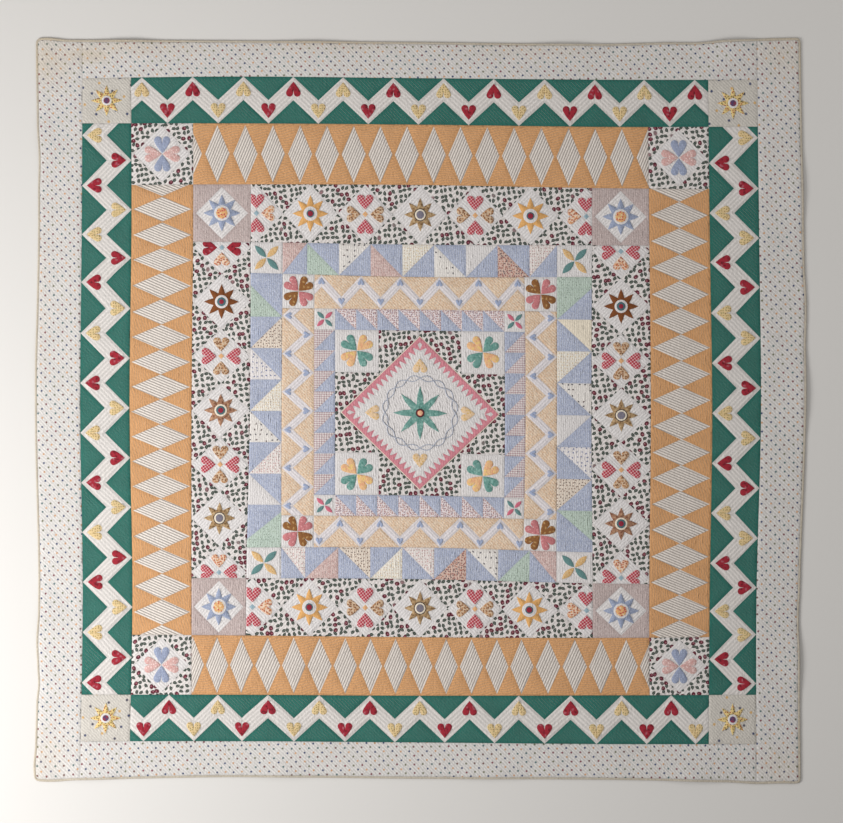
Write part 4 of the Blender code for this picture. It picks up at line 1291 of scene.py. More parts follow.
def place_object(mesh: bpy.types.Mesh, node: str = "") -> bpy.types.Object:
    """Adds a mesh as a piece of the quilt.

    Args:
        mesh: The mesh.
        node: The CAD node that it stands for, where there is one.

    Returns:
        The object.
    """
    mesh.shade_smooth()
    thing = bpy.data.objects.new(mesh.name, mesh)
    bpy.context.scene.collection.objects.link(thing)
    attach(thing, BODY)
    if node:
        mesh.set_sharp_from_angle(angle=math.radians(CREASE))
        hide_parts(node)
    return thing


# How the faces are laid out flat for painting. The underside and the walls are plain and get a strip each.
PAINT_MAP = "OFBake"
PAINT_TOP = 0.93  # the share of the square's height for the sewn face
UNDERSIDE_BAND = (0.945, 0.985)
WALL_BAND = (0.988, 0.998)
PAINT_MARGIN = 0.005
ROW_END = 9.0  # how far a row's last face may reach past its end, in millimetres


def unfold(mesh: bpy.types.Mesh, points: np.ndarray, top_count: int, walls: int, frame_: Frame) -> None:
    """Lays a panel's faces out flat, a long strip cut into rows one above the other.

    Args:
        mesh: The mesh, whose first faces are its sewn face, then its underside, then its walls.
        points: Its points in the panel.
        top_count: How many faces the sewn face has.
        walls: The number of the first wall face.
        frame_: The panel's frame.
    """
    low, high = points.min(axis=0), points.max(axis=0)
    length, width = high - low
    usable = 1 - 2 * PAINT_MARGIN

    def scale_for(rows: int) -> float:
        """How large the strip can be drawn when it is cut into rows."""
        return min(usable / (length / rows + 2 * ROW_END), (PAINT_TOP - PAINT_MARGIN) / (rows * (width + 6)))

    rows = max(range(1, 14), key=scale_for)
    scale = scale_for(rows)
    corner_point, loop_face = face_corners(mesh)
    count, totals = len(corner_point), np.bincount(loop_face)
    place = points[corner_point] - low
    middle = np.bincount(loop_face, place[:, 0]) / totals
    row = np.clip((middle / (length / rows)).astype(int), 0, rows - 1)[loop_face]
    u = PAINT_MARGIN + (place[:, 0] - row * length / rows + ROW_END) * scale
    v = PAINT_MARGIN + (row * (width + 6) + place[:, 1] + 3) * scale
    under = (loop_face >= top_count) & (loop_face < walls)
    u = np.where(under, PAINT_MARGIN + usable * place[:, 0] / length, u)
    band = UNDERSIDE_BAND[1] - UNDERSIDE_BAND[0]
    v = np.where(under, UNDERSIDE_BAND[0] + band * place[:, 1] / width, v)
    wall = loop_face >= walls
    wall_count = len(totals) - walls
    corner = np.arange(count)[wall] - np.flatnonzero(wall)[0]
    number, turn = corner // 4, corner % 4
    upper = np.isin(turn, (0, 1)) if not frame_.turns_over else np.isin(turn, (2, 3))
    right = np.isin(turn, (0, 3))
    u[wall] = PAINT_MARGIN + usable * (number + right) / wall_count
    v[wall] = np.where(upper, WALL_BAND[1], WALL_BAND[0])
    layer = mesh.uv_layers.new(name=PAINT_MAP)
    layer.data.foreach_set("uv", np.column_stack((u, v)).astype(np.float32).ravel())


# Outlines of applied pieces, 1 long, with the point or tip towards -y.
HEART_LOBE = 0.24  # the radius of a lobe, as a share of the heart's length
HEART_CLEFT = 0.56  # how far up the cleft is
HEART_FULLNESS = 0.30  # how full its sides are, between its point and its lobes


def heart_shape() -> np.ndarray:
    """A heart with two round lobes and a deep cleft, 1 long and 1 wide, round its middle."""
    lobe = np.array((0.5 - HEART_LOBE, 1 - HEART_LOBE))
    reach = float(np.hypot(*lobe))
    tangent = math.atan2(lobe[1], lobe[0]) - math.asin(HEART_LOBE / reach)
    start = tangent - math.pi / 2 + 0.2
    angles = np.linspace(start, math.pi * 1.03, 13)
    arc = lobe + HEART_LOBE * np.column_stack((np.cos(angles), np.sin(angles)))
    control = arc[0] - HEART_FULLNESS * np.array((-math.sin(start), math.cos(start)))
    share = np.linspace(0.0, 1.0, 5)[:-1, None]
    side = 2 * share * (1 - share) * control + share ** 2 * arc[0]
    right = np.concatenate((side, arc, np.array(((0.0, HEART_CLEFT),))))
    left = right[1:-1][::-1] * (-1, 1)
    return np.concatenate((right, left)) - (0.0, 0.5)


def leaf_shape() -> np.ndarray:
    """A pointed leaf, 1 long and 1 wide, round its middle."""
    rise = np.linspace(-0.5, 0.5, 9)
    half = 0.5 * np.cos(np.pi * rise) ** 0.85
    half[[0, -1]] = 0.0
    right = np.column_stack((half, rise))
    return np.concatenate((right, (right * (-1, 1))[-2:0:-1]))


HEART = heart_shape()
LEAF = leaf_shape()
HEART_MIDDLE = np.array((0.0, -0.13))


def turned(shape: np.ndarray, middle: np.ndarray, long: float, wide: float,
           towards: np.ndarray) -> np.ndarray:
    """Sets a shape in a panel.

    Args:
        shape: The shape, 1 long and 1 wide.
        middle: Where its middle goes.
        long: Its length.
        wide: Its width.
        towards: The direction in which its point faces.

    Returns:
        The outline.
    """
    towards = np.asarray(towards, float) / np.hypot(*towards)
    aside = np.array((-towards[1], towards[0]))
    return np.asarray(middle) + shape[:, :1] * wide * aside - shape[:, 1:] * long * towards


def star_outline(middle: np.ndarray, points: int, tip: float, notch: float, bulge: float = 0.0) -> np.ndarray:
    """A star, with its first point along +t.

    Args:
        middle: Its middle.
        points: How many points it has.
        tip: The radius of its tips.
        notch: The radius of the notches between them.
        bulge: How far the sides of its points bulge out.

    Returns:
        The outline.
    """
    angles = np.pi / 2 + np.arange(2 * points) * np.pi / points
    radii = np.where(np.arange(2 * points) % 2 == 0, tip, notch)
    outline = np.asarray(middle) + radii[:, None] * np.column_stack((np.cos(angles), np.sin(angles)))
    if not bulge:
        return outline
    after = np.roll(outline, -1, axis=0)
    run = after - outline
    aside = np.column_stack((run[:, 1], -run[:, 0])) / np.hypot(run[:, 0], run[:, 1])[:, None]
    return np.stack((outline, (outline + after) / 2 + aside * bulge), axis=1).reshape(-1, 2)


def disc_outline(middle: np.ndarray, radius: float, scallops: int = 0) -> np.ndarray:
    """A disc, with a scalloped edge where it has scallops."""
    angles = np.linspace(0, 2 * np.pi, 24 if not scallops else 6 * scallops, endpoint=False)
    radii = radius * (1 + (0.08 * np.abs(np.cos(angles * scallops / 2)) if scallops else 0.0 * angles))
    return np.asarray(middle) + radii[:, None] * np.column_stack((np.cos(angles), np.sin(angles)))


@dataclass(frozen=True)
class StarStyle:
    """An applied star: its cotton, its size and the discs on it, from the largest."""

    cotton: Cotton
    tip: float
    notch: float
    discs: tuple[tuple[float, Cotton], ...]
    scallops: int = 0

    def sew(self, panel: Panel, middle: np.ndarray) -> None:
        """Sews the star onto a panel."""
        outline = star_outline(middle, 8, self.tip, self.notch, 1.0)
        panel.applique(outline, middle, self.cotton, puffs=())
        sits = 0.45
        for number, (radius, cotton) in enumerate(self.discs):
            last = number == len(self.discs) - 1
            scallops = self.scallops if last else 0
            disc = disc_outline(middle, radius, scallops)
            panel.applique(disc, middle, cotton, 0.3, sits, (0.5,) if last else ())
            sits += 0.25


ORANGE_STAR = StarStyle(STAR_ORANGE, 56, 29, ((22, WHITE), (12, TEAL), (8.5, DEEP_RED)))
BROWN_STAR = StarStyle(STAR_BROWN, 53, 27, ((20, WHITE), (13.5, TEAL), (7, DEEP_RED)))
TAN_STAR = StarStyle(STAR_TAN, 50, 26, ((19, UMBER), (16.5, CREAM), (12, SLATE)))
RUST_STAR = StarStyle(STAR_RUST, 51, 27, ((19, CREAM), (14, TEAL), (8, DEEP_RED)))
BLUE_STAR = StarStyle(STAR_BLUE, 57, 30, ((24, WHITE), (16.5, BLOSSOM)), 8)
CORNER_STAR = StarStyle(STAR_YELLOW, 49, 23, ((15.5, WHITE), (9.7, PLUM)))


def sew_heart(panel: Panel, middle: Point | np.ndarray, towards: Point | np.ndarray, cotton: Cotton,
              long: float, wide: float) -> None:
    """Sews a heart onto a panel.

    Args:
        panel: The panel.
        middle: The heart's middle.
        towards: Where its point faces, in the panel.
        cotton: What it is cut from.
        long: Its length.
        wide: Its width.
    """
    heart_middle = turned(HEART_MIDDLE[None, :], middle, long, wide, towards)[0]
    panel.applique(turned(HEART, middle, long, wide, towards), heart_middle, cotton)


# The four diagonal directions of the layout: upper left, upper right, lower left and lower right.
DIAGONALS = ((-1, 1), (1, 1), (-1, -1), (1, -1))


def diagonal_cottons(corner: Corner, own: Cotton, other: Cotton) -> tuple[Cotton, ...]:
    """Cottons for the four diagonal directions, with a corner block's own diagonal in the first one."""
    falling, rising = (own, other) if corner.falling else (other, own)
    return falling, rising, rising, falling


@dataclass
class SewnBorder:
    """A border of four strips and four corner blocks. Each kind of border sews its own patches."""

    ring: int  # the border's number, from the outside in
    cloth: Cotton  # the strips' ground
    block_cloth: Optional[Cotton] = None  # the corner blocks' ground, where it has them
    rows: Optional[Quilting] = None  # the strips' rows of stitches
    block_rows: Quilting = Quilting(90, 7.0)

    def sew_strip(self, panel: Panel, side: Side) -> None:
        """Sews one side's patches."""

    def sew_block(self, panel: Panel, corner: Corner) -> None:
        """Sews one corner block's patches."""

    def build(self) -> None:
        """Builds the border."""
        name = BORDERS[self.ring].name
        for side in Side:
            panel = Panel(f"{name}_{side.value}", strip_frame(self.ring, side), self.cloth, self.rows)
            self.sew_strip(panel, side)
            panel.build()
        for corner in Corner if self.block_cloth else ():
            shape = corner_frame(self.ring, corner)
            panel = Panel(f"{name}_corner_{corner.value}", shape, self.block_cloth, self.block_rows)
            self.sew_block(panel, corner)
            panel.build()


@dataclass
class GreenBorder(SewnBorder):
    """The green border: a white zigzag band between green triangles, and a printed star in each block."""

    ring: int = GREEN
    cloth: Cotton = BAND_WHITE
    block_cloth: Cotton = SPARSE_DOTTED
    block_rows: Quilting = Quilting(-45)
    band_share: float = 0.5  # the band's upright thickness, as a share of the border's width
    heart: float = 46.0  # a heart's length and width
    heart_in: float = 38.0  # how far in from the seam a heart's middle is
    # For each side, how many zigs and zags fit, and the place of the first outer tip.
    zigzags: tuple[Point, ...] = ((11.48, 33), (11.54, 42), (11.48, 37), (11.45, 34))

    def sew_strip(self, panel: Panel, side: Side) -> None:
        """Sews the zigzag, and a heart into every tip."""
        periods, first = dict(zip(Side, self.zigzags))[side]
        period = panel.frame.length / periods
        zigzag(panel, period, first, self.band_share, GREEN_CLOTH, BAND_WHITE, 10.5, 8.0)
        for number in range(-1, math.ceil(periods) + 1):
            place, even = first + number * period, number % 2 == 0
            self.tip_heart(panel, place, self.heart_in, -1, even == (side is Side.BOTTOM))
            self.tip_heart(panel, place + period / 2, panel.frame.width - self.heart_in - 1, 1, even)

    def tip_heart(self, panel: Panel, s: float, t: float, way: int, red: bool) -> None:
        """Sews a heart into a tip, where there is room for it all, with its point along t or against it."""
        if self.heart / 2 < s < panel.frame.length - self.heart / 2 + 8:
            s = min(s, panel.frame.length - self.heart / 2 - 2)
            sew_heart(panel, (s, t), (0, way), RED_MOTTLED if red else GOLD_DOTTED, self.heart, self.heart)

    def sew_block(self, panel: Panel, corner: Corner) -> None:
        """Sews a star."""
        CORNER_STAR.sew(panel, panel.frame.middle)


def zigzag(panel: Panel, period: float, first: float, band_share: float, triangle: Cotton, band: Cotton,
           band_pitch: float, print_pitch: float) -> None:
    """Sews a zigzag band and the triangles on either side of it.

    Args:
        panel: The panel.
        period: The length of one zig and zag.
        first: The place of the first outer tip.
        band_share: The band's upright thickness, as a share of the panel's width.
        triangle: The triangles' cotton.
        band: The band's cotton.
        band_pitch: How far apart the band's rows of stitches are.
        print_pitch: How far apart the triangles' rows of stitches are.
    """
    shape, width = panel.frame, panel.frame.width
    depth = width * (1 - band_share)
    hatch = Quilting(-45.0 if depth < math.sqrt(3) * period / 2 else 45.0, print_pitch, 0.8, depth=1.6)
    for tip in np.arange(first - 2 * period, shape.length + period, period):
        middle = tip + period / 2
        for start, end, near in ((tip, middle, 0.0), (middle, tip + period, depth)):
            far = depth - near
            leg = [(start, near), (end, far), (end, far + width - depth), (start, near + width - depth)]
            x, y = shape.place(np.array((end - start, far - near))) - shape.start
            rows = Quilting(math.degrees(math.atan2(y, x)), band_pitch, 0.3, depth=1.5)
            panel.patch(leg, band, rows, seamed=False)
        panel.patch([(tip, 0.0), (tip + period, 0.0), (middle, depth)], triangle, hatch)
        panel.patch([(tip - period / 2, width), (tip, width - depth), (middle, width)], triangle, hatch)


@dataclass
class OrangeBorder(SewnBorder):
    """The orange border: tall striped diamonds on orange, and corner blocks with four hearts."""

    ring: int = ORANGE
    cloth: Cotton = ORANGE_CLOTH
    block_cloth: Cotton = BERRY
    block_rows: Quilting = Quilting(45, 8.5)
    margin: float = 5.0  # from the seam to a diamond's tip
    block_margin: float = 8.0  # from a block's seam to the tip of its square
    heart_out: float = 28.0  # how far a heart's middle is from its block's
    # For each side, how many diamonds fit, a diamond's width as a share of its room, and how far the diamonds
    # are sewn from their even places at five places along the side.
    diamonds: tuple[tuple[int, float, tuple[float, ...]], ...] = (
        (17, 0.91, (-11, 0, 0, 0, 0)),
        (18, 0.93, (4, 3, 2, 4, 6)),
        (18, 1.0, (-3, 9, 8, 6, 8)),
        (17, 1.0, (0, 0, -4, -12, -14)),
    )

    def sew_strip(self, panel: Panel, side: Side) -> None:
        """Sews the diamonds."""
        shape = panel.frame
        turn, lean, stripe = (0.0, 67.5, WOVEN_STRIPE) if side.level else (90.0, -22.5, SIDE_STRIPE)
        panel.pieces[0].quilting = Quilting(turn + 8, 7.5, 3.2, 85.0, 1.8)
        count, share, strays = dict(zip(Side, self.diamonds))[side]
        period = shape.length / count
        half = period * share / 2
        places = np.arange(count + 1)
        shifts = smooth_between(np.tile(np.array(strays, float), (count + 1, 1)), places * 4 / count)
        for middle in places * period + shifts:
            diamond = [(middle, self.margin), (middle + half, shape.width / 2),
                       (middle, shape.width - self.margin), (middle - half, shape.width / 2)]
            panel.patch(diamond, stripe, Quilting(lean, 7.6, 0.3))

    def sew_block(self, panel: Panel, corner: Corner) -> None:
        """Sews a white square on point with a heart on each side."""
        square_on_point(panel, self.block_margin, Quilting(45 if corner.falling else -45, 8.0))
        for x, y, cotton in ((0, 1, LIGHT_BLUE), (0, -1, LIGHT_BLUE), (-1, 0, PALE_PINK), (1, 0, PALE_PINK)):
            out = panel.frame.turn(x, y)
            sew_heart(panel, panel.frame.middle + out * self.heart_out, -out, cotton, 53, 50)


def square_on_point(panel: Panel, margin: float, quilting: Quilting, s: Optional[float] = None,
                    half: Optional[float] = None) -> None:
    """Sews a white square on point into a panel.

    Args:
        panel: The panel.
        margin: From the panel's seam to the square's tips.
        quilting: Its rows of stitches.
        s: Where its middle is along the panel, the panel's own middle where it isn't given.
        half: Half its length along the panel, up to the margin where it isn't given.
    """
    middle, t = panel.frame.middle
    s, half = (middle, middle - margin) if s is None else (s, half)
    panel.patch([(s, margin), (s + half, t), (s, 2 * t - margin), (s - half, t)], WHITE, quilting)


@dataclass
class StarBorder(SewnBorder):
    """The star and heart border: white squares on point in a berry print, and lilac corner blocks."""

    ring: int = STAR
    cloth: Cotton = BERRY
    block_cloth: Cotton = LILAC
    rows: Quilting = Quilting(45, 8.5)
    end: float = 18.6  # from the border's end to the middle of its first square
    heart_out: float = 36.5  # how far a heart's middle is from its square's
    block_margin: float = 8.0  # from a block's seam to the tip of its square
    squares: int = 7
    # For each side, the stars, which stand in every other square.
    stars: tuple[tuple[StarStyle, ...], ...] = (
        (ORANGE_STAR, TAN_STAR, ORANGE_STAR), (ORANGE_STAR, TAN_STAR, ORANGE_STAR),
        (BROWN_STAR, RUST_STAR, TAN_STAR), (BROWN_STAR, TAN_STAR, RUST_STAR),
    )

    def sew_strip(self, panel: Panel, side: Side) -> None:
        """Sews the squares, then their stars and hearts."""
        pitch = (panel.frame.length - 2 * self.end) / (self.squares - 1)
        half = panel.frame.width / 2
        middles = [np.array((self.end + number * pitch, half)) for number in range(self.squares)]
        for number, middle in enumerate(middles):
            square_on_point(panel, 0.0, Quilting(45 if number % 2 else -45, 8.0), middle[0], pitch / 2)
        stars = dict(zip(Side, self.stars))[side]
        for number, middle in enumerate(middles):
            if number % 2:
                stars[number // 2].sew(panel, middle)
            else:
                ways = {0: (1,), self.squares - 1: (-1,)}.get(number, (-1, 1))
                self.hearts(panel, middle, ways, side)

    def hearts(self, panel: Panel, middle: np.ndarray, ways: tuple[int, ...], side: Side) -> None:
        """Sews checked hearts across the strip, and printed ones along it.

        Args:
            panel: The strip.
            middle: Their square's middle.
            ways: The directions along the strip that have a heart.
            side: The strip's side.
        """
        at_end = len(ways) == 1
        printed = PEACH_PRINT if at_end else TAN_PRINT
        checked = RED_MOTTLED if side is Side.LEFT and ways == (1,) else RED_CHECK
        for out, cotton, long, wide in (
            *(((way, 0.0), printed, 43, 49) for way in ways),
            *(((0.0, way), checked, 45, 52) for way in (-1, 1)),
        ):
            sew_heart(panel, middle + np.array(out) * self.heart_out, -np.array(out), cotton, long, wide)
        patch = star_outline(middle, 2, 9.0, 9.0)
        panel.applique(patch, middle, SQUARE_TEAL if at_end else SQUARE_ORANGE, 0.3, 0.0, ())

    def sew_block(self, panel: Panel, corner: Corner) -> None:
        """Sews a blue star on a white square on point."""
        square_on_point(panel, self.block_margin, Quilting(45, 8.0))
        BLUE_STAR.sew(panel, panel.frame.middle)


class HalfSquares(NamedTuple):
    """The places of one side's halved squares, and their prints.

    A coping strip may stand before the first square, and before and after the last one.
    """

    first_coping: float
    first: float
    between: int
    last_coping: float
    last: float
    end_coping: float
    copings: tuple[Cotton, ...]
    prints: tuple[Cotton, ...]


@dataclass
class BlueBorder(SewnBorder):
    """The blue border: squares halved into blue and a print, and corner blocks with four leaves."""

    ring: int = BLUE
    cloth: Cotton = CHAMBRAY
    block_cloth: Cotton = WHITE
    rows: Quilting = Quilting(90, 6.8)
    leaf_long: float = 52.0
    leaf_wide: float = 20.0
    leaf_out: float = 27.5  # how far a leaf's middle is from its block's
    squares: tuple[HalfSquares, ...] = (
        HalfSquares(0, 77, 7, 0, 84, 0, (), (
            PINK_SMALL, SAGE, WHITE_INK_DOTS, PINK_SMALL, WHITE_YELLOW_DOTS, WHITE_INK_DOTS, WHITE,
            RUST_SMALL, WHITE_PINK_DOTS)),
        HalfSquares(0, 74, 7, 0, 81, 0, (), (
            WHITE_PINK_DOTS, PINK_SMALL, CREAM_DARK_DOTS, WHITE_YELLOW_DOTS, WHITE_PINK_DOTS, RUST_SMALL,
            WHITE_INK_DOTS, SAGE, PINK_SMALL)),
        HalfSquares(37, 96, 6, 22, 84, 25, (CHAMBRAY, CHAMBRAY, SAGE), (
            SAGE, CREAM_DARK_DOTS, WHITE_BLUE_DOTS, WHITE_YELLOW_DOTS, WHITE_INK_DOTS, WHITE_PINK_DOTS, WHITE,
            SAGE)),
        HalfSquares(34, 96, 6, 0, 93, 34, (SAGE, CHAMBRAY, CHAMBRAY), (
            SAGE, CREAM, WHITE_YELLOW_DOTS, WHITE_INK_DOTS, WHITE, WHITE_BLUE_DOTS, CREAM_DARK_DOTS, SAGE)),
    )

    def sew_strip(self, panel: Panel, side: Side) -> None:
        """Sews the halved squares and the coping strips."""
        length = panel.frame.length
        row = dict(zip(Side, self.squares))[side]
        start_between = row.first_coping + row.first
        end_between = length - row.end_coping - row.last - row.last_coping
        even = (end_between - start_between) / row.between
        starts = [row.first_coping] + [start_between + even * number for number in range(row.between)]
        ends = starts[1:] + [end_between]
        starts.append(end_between + row.last_coping)
        ends.append(length - row.end_coping)
        for number, (start, end, printed) in enumerate(zip(starts, ends, row.prints)):
            halves = (printed, CHAMBRAY) if side in (Side.TOP, Side.RIGHT) else (CHAMBRAY, printed)
            half_square(panel, start, end, (number % 2 == 0) != side.level, halves, self.rows)
        spans = ((0.0, starts[0]), (ends[-2], starts[-1]), (ends[-1], length))
        for (start, end), cotton in zip(spans, row.copings):
            if end > start:
                panel.patch(panel.across(start, end), cotton, self.rows)

    def sew_block(self, panel: Panel, corner: Corner) -> None:
        """Sews four crossed leaves."""
        sew_four(panel, panel.frame.middle, diagonal_cottons(corner, LEAF_GREEN, LEAF_YELLOW), self.leaf_out,
                 self.leaf_long, self.leaf_wide, leaves=True)


def half_square(panel: Panel, start: float, end: float, rises: bool, halves: tuple[Cotton, Cotton],
                quilting: Quilting) -> None:
    """Sews a square halved by one of its diagonals.

    Args:
        panel: The strip.
        start: Where it starts along the strip.
        end: Where it ends.
        rises: Whether its diagonal runs from the outer seam at its start to the inner seam at its end.
        halves: The cotton of the half that has the whole start edge, and that of the other half.
        quilting: The rows of stitches.
    """
    outer_start, outer_end, inner_end, inner_start = panel.across(start, end)
    if rises:
        first, second = (outer_start, inner_start, inner_end), (outer_start, outer_end, inner_end)
    else:
        first, second = (outer_start, outer_end, inner_start), (outer_end, inner_end, inner_start)
    panel.patch(first, halves[0], quilting)
    panel.patch(second, halves[1], quilting)


@dataclass
class YellowBorder(SewnBorder):
    """The yellow border: a narrow zigzag with a small heart in every tip, and corner blocks of hearts."""

    ring: int = YELLOW
    cloth: Cotton = PALE_LILAC
    block_cloth: Cotton = WHITE
    band_share: float = 0.36  # the band's upright thickness, as a share of the border's width
    heart: float = 22.0  # a small heart's length
    heart_in: float = 19.0  # how far in from the seam its middle is
    # For each side, how many zigs and zags fit, and the place of the first outer tip.
    zigzags: tuple[Point, ...] = ((5.35, 21), (5.23, 15), (5.45, 23), (5.37, 21))

    def sew_strip(self, panel: Panel, side: Side) -> None:
        """Sews the zigzag and its small hearts."""
        shape = panel.frame
        periods, first = dict(zip(Side, self.zigzags))[side]
        period = shape.length / periods
        zigzag(panel, period, first, self.band_share, YELLOW_PRINT, PALE_LILAC, 8.0, 7.0)
        for number in range(math.ceil(periods)):
            outer = first + number * period
            inner = shape.width - self.heart_in - 4
            for s, t, way in ((outer, self.heart_in, -1), (outer + period / 2, inner, 1)):
                if 4 < s < shape.length - self.heart / 2:
                    middle = (max(s, self.heart / 2 + 2), t)
                    sew_heart(panel, middle, (0, way), SMALL_BLUE, self.heart, self.heart * 0.95)

    def sew_block(self, panel: Panel, corner: Corner) -> None:
        """Sews four hearts whose points meet."""
        sew_four(panel, panel.frame.middle, diagonal_cottons(corner, ROSE, BROWN_DOTTED), 25.0, 48.0, 48.0)


def sew_four(panel: Panel, middle: np.ndarray, cottons: Sequence[Cotton], out: float, long: float,
             wide: float, leaves: bool = False) -> None:
    """Sews four hearts with their points together, or four leaves, on the diagonals.

    Args:
        panel: The panel.
        middle: Where they meet.
        cottons: Their cottons: upper left, upper right, lower left and lower right.
        out: How far their own middles are from there.
        long: Their length.
        wide: Their width.
        leaves: Whether they are leaves.
    """
    for (x, y), cotton in zip(DIAGONALS, cottons):
        away = panel.frame.turn(x, y) / math.sqrt(2)
        place = middle + away * out
        if leaves:
            panel.applique(turned(LEAF, place, long, wide, away), place, cotton, 0.5, 0.0, (0.5,))
        else:
            sew_heart(panel, place, -away, cotton, long, wide)


@dataclass
class ToothBorder(SewnBorder):
    """The narrow sawtooth border. Its top and bottom strips carry the corner squares at their ends."""

    ring: int = TOOTH
    cloth: Cotton = WHITE
    rows: Quilting = Quilting(90, 7.0)
    count: int = 8  # how many halved squares each side has
    leaf_long: float = 31.0
    leaf_wide: float = 12.5

    def sew_strip(self, panel: Panel, side: Side) -> None:
        """Sews the halved squares, and the corner squares of a level side."""
        start, end = 0.0, panel.frame.length
        if side.level:
            start, end = BORDERS[TOOTH].left, end - BORDERS[TOOTH].right
        period = (end - start) / self.count
        rises = side in (Side.TOP, Side.RIGHT)
        printed = TOOTH_PRINT if side.level else TOOTH_CHECK
        for number in range(self.count):
            left = start + number * period
            halves = (CHAMBRAY, printed) if rises else (printed, CHAMBRAY)
            half_square(panel, left, left + period, rises, halves, self.rows)
        if side.level:
            for corner in (Corner(side.value + "_left"), Corner(side.value + "_right")):
                ends = (0.0, start) if corner.left else (end, panel.frame.length)
                panel.patch(panel.across(*ends), WHITE, self.rows)
                middle = np.array((sum(ends) / 2, panel.frame.width / 2))
                cottons = diagonal_cottons(corner, LEAF_GREEN, LEAF_PINK)
                sew_four(panel, middle, cottons, self.leaf_long / 2 + 1.5, self.leaf_long, self.leaf_wide,
                         leaves=True)


